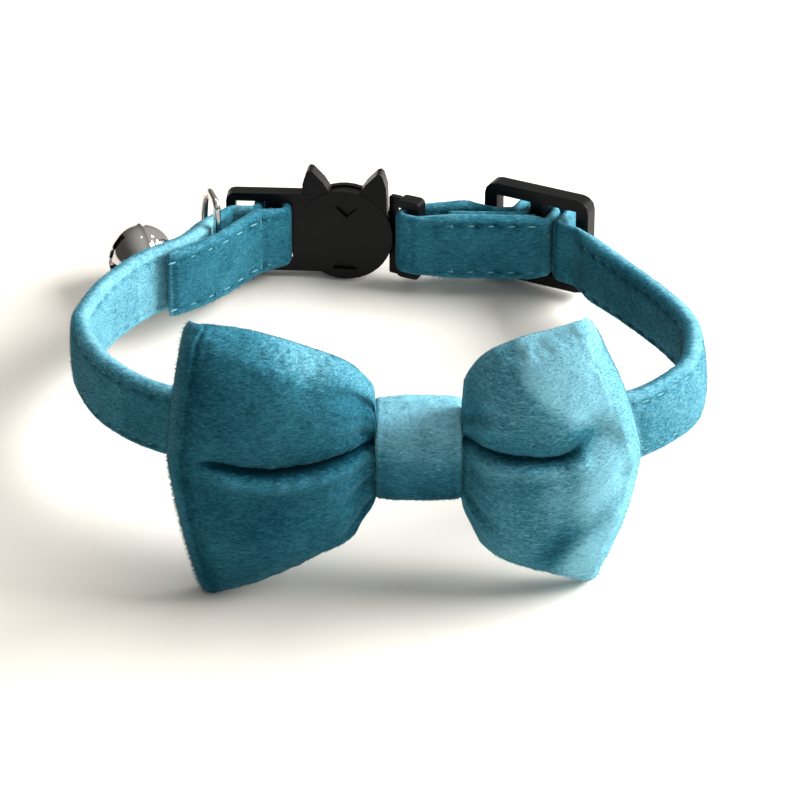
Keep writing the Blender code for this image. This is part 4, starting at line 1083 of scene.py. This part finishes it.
def fuzzTree():
    tree, given = startTree("velvetFuzz", (
        ("Density", "Float", 1e6), ("Length", "Float", 0.0005), ("Thickness", "Float", 0.0001),
        ("Rise", "Float", 0.5), ("Stray", "Float", 0.3), ("Seed", "Int", 3), ("Pile", "Material", None),
    ))

    def attribute(name, kind):
        node = addNode(tree, "GeometryNodeInputNamedAttribute", {"data_type": kind}, Name=name)
        return node.outputs["Attribute"]

    def vectors(kind, **inputs):
        return addNode(tree, "ShaderNodeVectorMath", {"operation": kind}, **inputs).outputs["Vector"]

    density = addMath(tree, "MULTIPLY", given["Density"], attribute("fuzz", "FLOAT"))
    seed = given["Seed"]
    spread = addNode(
        tree, "GeometryNodeDistributePointsOnFaces", Mesh=given["Geometry"], Density=density, Seed=seed,
    )
    stray = addNode(
        tree, "FunctionNodeRandomValue", {"data_type": "FLOAT_VECTOR"}, input0=(-1, -1, -1),
        input1=(1, 1, 1), Seed=seed,
    )
    rise = vectors("SCALE", input0=spread.outputs["Normal"], Scale=given["Rise"])
    lean = vectors("ADD", input0=attribute("pileWay", "FLOAT_VECTOR"), input1=rise)
    sideways = vectors("SCALE", input0=stray.outputs[0], Scale=given["Stray"])
    lean = vectors("ADD", input0=lean, input1=sideways)
    align = addNode(tree, "FunctionNodeAlignRotationToVector", {"axis": "Z"}, Vector=lean)
    hair = addNode(
        tree, "GeometryNodeMeshCone", Vertices=3, Side_Segments=1, Radius_Top=0.0,
        Radius_Bottom=addMath(tree, "MULTIPLY", given["Thickness"], 0.5), Depth=given["Length"],
    )
    return endTree(
        tree, spread.outputs["Points"], hair.outputs["Mesh"], align.outputs["Rotation"],
        randomShare(tree, 0.6, 1.15, seed), given["Pile"],
    )


velvetFuzz = fuzzTree()


def addFuzz(name, source, density, seed):
    s = fuzzSizes
    piece = addObject(name, source.data.copy())
    grow(piece, velvetFuzz, {
        "Density": density * 1e6, "Length": s["length"] / 1000, "Thickness": s["thickness"] / 1000,
        "Rise": s["rise"], "Stray": s["stray"], "Seed": seed, "Pile": fuzzVelvet,
    })
    print(name, len(piece.data.polygons))
    return finished(piece, fuzzVelvet, "velvet")


addFuzz("bowFuzz", bowPiece, 8.6, 3)
addFuzz("strapFuzz", strapPiece, 6.4, 5)
addFuzz("knotFuzz", knotPiece, 8.6, 8)

# Buckle and slider
mouldings = {"steps": 3, "limit": radians(32)}


def mouldedCopy(node, name, edge):
    mesh = bpy.data.objects[node].data.copy()
    mesh.name = name
    shape = bmesh.new()
    shape.from_mesh(mesh)
    bmesh.ops.remove_doubles(shape, verts=shape.verts, dist=2e-6)
    bmesh.ops.dissolve_limit(shape, angle_limit=radians(1.0), verts=shape.verts, edges=shape.edges)
    shape.to_mesh(mesh)
    shape.free()
    piece = addObject(name, mesh)
    ease = piece.modifiers.new("edges", "BEVEL")
    ease.width = edge
    ease.segments = mouldings["steps"]
    ease.limit_method = "ANGLE"
    ease.angle_limit = mouldings["limit"]
    ease.use_clamp_overlap = True
    mesh.shade_smooth()
    weigh = piece.modifiers.new("normals", "WEIGHTED_NORMAL")
    weigh.weight = 100
    weigh.keep_sharp = True
    evaluated(piece)
    return finished(piece, blackPlastic, "black_plastic", node)


mouldedCopy("buckle_socket", "socketMoulding", 0.00016)
mouldedCopy("buckle_plug", "plugMoulding", 0.00010)
mouldedCopy("slider", "sliderMoulding", 0.00012)
print("buckle and slider")


# Ring, jump ring and bell
def wirePiece(name, points, thickness, *nodes):
    data = bpy.data.curves.new(name, "CURVE")
    data.dimensions = "3D"
    data.bevel_depth = thickness / 2 / 1000
    data.bevel_resolution = 6
    line = data.splines.new("POLY")
    line.points.add(len(points) - 1)
    for spot, place in zip(line.points, seated(points)):
        spot.co = (*place, 1)
    line.use_cyclic_u = True
    curve = addObject(name + "Line", data)
    mesh = meshOf(curve)
    bpy.data.objects.remove(curve, do_unlink=True)
    mesh.shade_smooth()
    return finished(addObject(name, outward(mesh)), brightNickel, "bright_metal", *nodes)


ringSizes = {
    "height": 17.8, "depth": 10.2, "wire": 1.2, "straight": 0.38, "swing": radians(40), "offGround": 0.3,
}


def groundHeight(y):
    low = bowSizes["lift"] - bowSizes["wingHeight"] / 2
    front = bowSizes["back"] - bowSizes["backBulge"] / 2 - wings["left"]["forward"]
    return low + (y - front) * tan(radians(seat["tiltDegrees"]))


def dRingPoints():
    s = ringSizes
    here, after = [Vector((x * halfWidth, y * halfDepth)) for x, y, _ in routeRows[:2]]
    along = (after - here).normalized()
    apart = strapSizes["thickness"] / 2 + strapSizes["gap"] + s["wire"] / 2
    foot = here + Vector((-along.y, along.x)) * apart
    leftEnd = leftPlan.point(-buckleSizes["leftArm"] + buckleSizes["endBar"] / 2, 0)
    turn = atan2(leftEnd.y - here.y, leftEnd.x - here.x) + s["swing"]
    low = groundHeight(foot.y + s["depth"] / 2) + s["wire"] / 2 + s["offGround"]
    high = low + s["height"] - s["wire"]
    reach, half, middle = s["depth"] - s["wire"], (high - low) / 2, (high + low) / 2
    corner = s["wire"] * 0.9
    straight = reach * s["straight"]
    outline = []
    for x, z, across, rise, first, last, steps in (
        (corner, high - corner, corner, corner, pi, pi / 2, 6),
        (straight, middle, reach - straight, half, pi / 2, -pi / 2, 40),
        (corner, low + corner, corner, corner, -pi / 2, -pi, 6),
    ):
        for i in range(steps + 1):
            angle = first + (last - first) * i / steps
            outline.append((x + across * cos(angle), z + rise * sin(angle)))
    way = Vector((cos(turn), sin(turn)))
    return [(foot.x + way.x * out, foot.y + way.y * out, z) for out, z in outline], foot + way * reach


dRingLine, hook = dRingPoints()
wirePiece("dRingWire", dRingLine, ringSizes["wire"], "d_ring")
bellSizes = {
    "diameter": 10.8, "wall": 0.6, "slot": 1.3, "eye": 3.2, "eyeWire": 0.8, "link": 5.8, "linkWire": 0.7,
    "turn": radians(22), "slack": 0.3, "offGround": 0.15, "seam": 0.035, "seamWide": 0.055, "sunk": 0.4,
}


def circlePoints(centre, radius, one, two, count):
    angles = [2 * pi * i / count for i in range(count)]
    return [centre + one * radius * cos(angle) + two * radius * sin(angle) for angle in angles]


def shapeObject(name, shape, place):
    bmesh.ops.transform(shape, matrix=place, verts=shape.verts)
    bmesh.ops.recalc_face_normals(shape, faces=shape.faces)
    mesh = bpy.data.meshes.new(name)
    shape.to_mesh(mesh)
    shape.free()
    return addObject(name, mesh)


# A closed shell, spun from a half circle that a seam swells at its middle
def bellShape(name, radius, steps, seam, place):
    shape = bmesh.new()
    verts = [shape.verts.new((0, 0, radius))]
    for i in range(1, steps):
        angle = pi * i / steps
        swell = 1 + seam * bump(angle, pi / 2, bellSizes["seamWide"])
        verts.append(shape.verts.new((radius * sin(angle) * swell, 0, radius * cos(angle))))
    verts.append(shape.verts.new((0, 0, -radius)))
    edges = [shape.edges.new(pair) for pair in zip(verts, verts[1:])]
    around = {"cent": (0, 0, 0), "axis": (0, 0, 1), "angle": 2 * pi, "steps": 96, "use_merge": True}
    bmesh.ops.spin(shape, geom=verts + edges, **around)
    bmesh.ops.remove_doubles(shape, verts=shape.verts, dist=1e-4)
    return shapeObject(name, shape, place)


def slotShape(name, halfLengths, place, depth):
    shape = bmesh.new()
    bmesh.ops.create_cube(shape, size=2)
    box = Matrix.Translation((0, 0, -depth)) @ Matrix.Diagonal((*halfLengths, depth * 0.75, 1))
    return shapeObject(name, shape, place @ box)


def makeBell():
    s = bellSizes
    linkRadius, eyeRadius = (s["link"] - s["linkWire"]) / 2, (s["eye"] - s["eyeWire"]) / 2
    bellRadius = s["diameter"] / 2
    back, up = Vector((-cos(s["turn"]), -sin(s["turn"]), 0)), Vector((0, 0, 1))
    side, axis = Vector((-back.y, back.x, 0)), -back
    slack, sunk = s["linkWire"] / 2 + s["slack"], s["eyeWire"] * s["sunk"]
    linkOut = linkRadius - slack - ringSizes["wire"] / 2
    bellOut = linkOut + linkRadius - slack - s["eyeWire"] / 2 + 2 * eyeRadius + bellRadius - sunk
    flat = Vector((*hook, 0))
    centre = flat + back * bellOut
    centre.z = groundHeight(centre.y) + bellRadius / cos(radians(seat["tiltDegrees"])) + s["offGround"]
    link = circlePoints(flat + back * linkOut + up * centre.z, linkRadius, back, side, 48)
    wirePiece("jumpRingWire", link, s["linkWire"], "jump_ring")
    eye = circlePoints(centre + axis * (bellRadius + eyeRadius - sunk), eyeRadius, axis, up, 40)
    wirePiece("bellEye", eye, s["eyeWire"])
    place = seatMatrix @ Matrix.Translation(centre) @ axis.to_track_quat("Z", "Y").to_matrix().to_4x4()
    bell = bellShape("bellShell", bellRadius, 64, s["seam"], place)
    long, thin = bellRadius * 0.82, s["slot"] / 2
    tools = [
        bellShape("bellInner", bellRadius - s["wall"], 48, 0, place),
        slotShape("bellSlot0", (long, thin), place, bellRadius),
        slotShape("bellSlot1", (thin, long), place, bellRadius),
    ]
    for tool in tools:
        cut = bell.modifiers.new(tool.name, "BOOLEAN")
        cut.operation = "DIFFERENCE"
        cut.solver = "EXACT"
        cut.object = tool
    result = evaluated(bell)
    result.shade_smooth()
    result.set_sharp_from_angle(angle=radians(40))
    for tool in tools:
        bpy.data.objects.remove(tool, do_unlink=True)
    return finished(bell, brightNickel, "bright_metal", "bell")


makeBell()
print("ring and bell")

# Stitches
stitchSizes = {
    "length": 1.8, "thickness": 0.30, "pitch": 3.1, "sink": 0.30, "thinSink": 0.24, "seed": 7,
    "nearLine": 10.3, "turnedLines": (-27.1, -20.3),
}


def stitchTree():
    tree, given = startTree("stitchRow", (
        ("Pitch", "Float", 0.003), ("Length", "Float", 0.0019), ("Thickness", "Float", 0.0003),
        ("Seed", "Int", 7), ("Thread", "Material", None),
    ))
    line = addNode(tree, "GeometryNodeMeshToCurve", Mesh=given["Geometry"]).outputs["Curve"]
    even = addNode(tree, "GeometryNodeResampleCurve", {"mode": "LENGTH"}, Curve=line, Length=given["Pitch"])
    ball = addNode(tree, "GeometryNodeMeshUVSphere", Segments=10, Rings=8, Radius=0.5)
    tangent = tree.nodes.new("GeometryNodeInputTangent").outputs["Tangent"]
    align = addNode(tree, "FunctionNodeAlignRotationToVector", {"axis": "X"}, Vector=tangent)
    longer = addMath(tree, "MULTIPLY", given["Length"], randomShare(tree, 0.82, 1.12, given["Seed"]))
    size = addNode(tree, "ShaderNodeCombineXYZ", X=longer, Y=given["Thickness"], Z=given["Thickness"])
    return endTree(
        tree, even.outputs["Curve"], ball.outputs["Mesh"], align.outputs["Rotation"], size.outputs["Vector"],
        given["Thread"],
    )


stitchRow = stitchTree()


def sewnRows(name, rows, material):
    s = stitchSizes
    points, edges = [], []
    for row in rows:
        start = len(points)
        points += seated(row)
        edges += [(start + i, start + i + 1) for i in range(len(row) - 1)]
    mesh = bpy.data.meshes.new(name)
    mesh.from_pydata(points, edges, [])
    piece = addObject(name, mesh)
    grow(piece, stitchRow, {
        "Pitch": s["pitch"] / 1000, "Length": s["length"] / 1000, "Thickness": s["thickness"] / 1000,
        "Seed": s["seed"], "Thread": material,
    })
    return finished(piece, material, "velvet")


def sewnSpot(i, side, level, drop):
    place, thick, width, _, out, up = strapFrame(strapPath, i)
    return place - out * side * (thick / 2 - drop) + up * level * (width / 2 - strapLook["stitchInset"])


def strapRow(low, high, side, level, drop):
    inside = [i for i, along in enumerate(strapLengths) if low <= along <= high]
    return [sewnSpot(i, side, level, drop) for i in inside]


def acrossRow(lengths, x, drop):
    i = strapLengths.index(min(lengths, key=lambda value: abs(strapPath[strapLengths.index(value)][0] - x)))
    return [sewnSpot(i, 1, level, drop) for level in np.linspace(-0.9, 0.9, 9)]


def makeStitches():
    s = stitchSizes
    stations = list(zip(strapLengths, strapPath))
    padded = [along for along, row in stations if row[2] > 3.0]
    start, end = padded[0], padded[-1]
    near = [along for along, row in stations if row[2] > 2.3 and along < start * 0.7 and row[1] < 29]
    turned = [along for along, row in stations if along > end + 20 and row[2] > 1.95]
    rows = []
    for low, high, sides, drop in (
        (start, end, (1, -1), s["sink"]), (near[0], near[-1], (1, -1), s["thinSink"]),
        (turned[0], turned[-1], (1,), s["thinSink"]),
    ):
        rows += [strapRow(low, high, side, level, drop) for side in sides for level in (1, -1)]
    rows += [acrossRow(near, s["nearLine"], s["thinSink"])]
    rows += [acrossRow(turned, x, s["thinSink"]) for x in s["turnedLines"]]
    sewnRows("strapStitches", rows, stitchThread)
    print("strap length", round(strapLengths[-1], 1), "padded run", round(start, 1), round(end, 1))


makeStitches()
print("stitches")
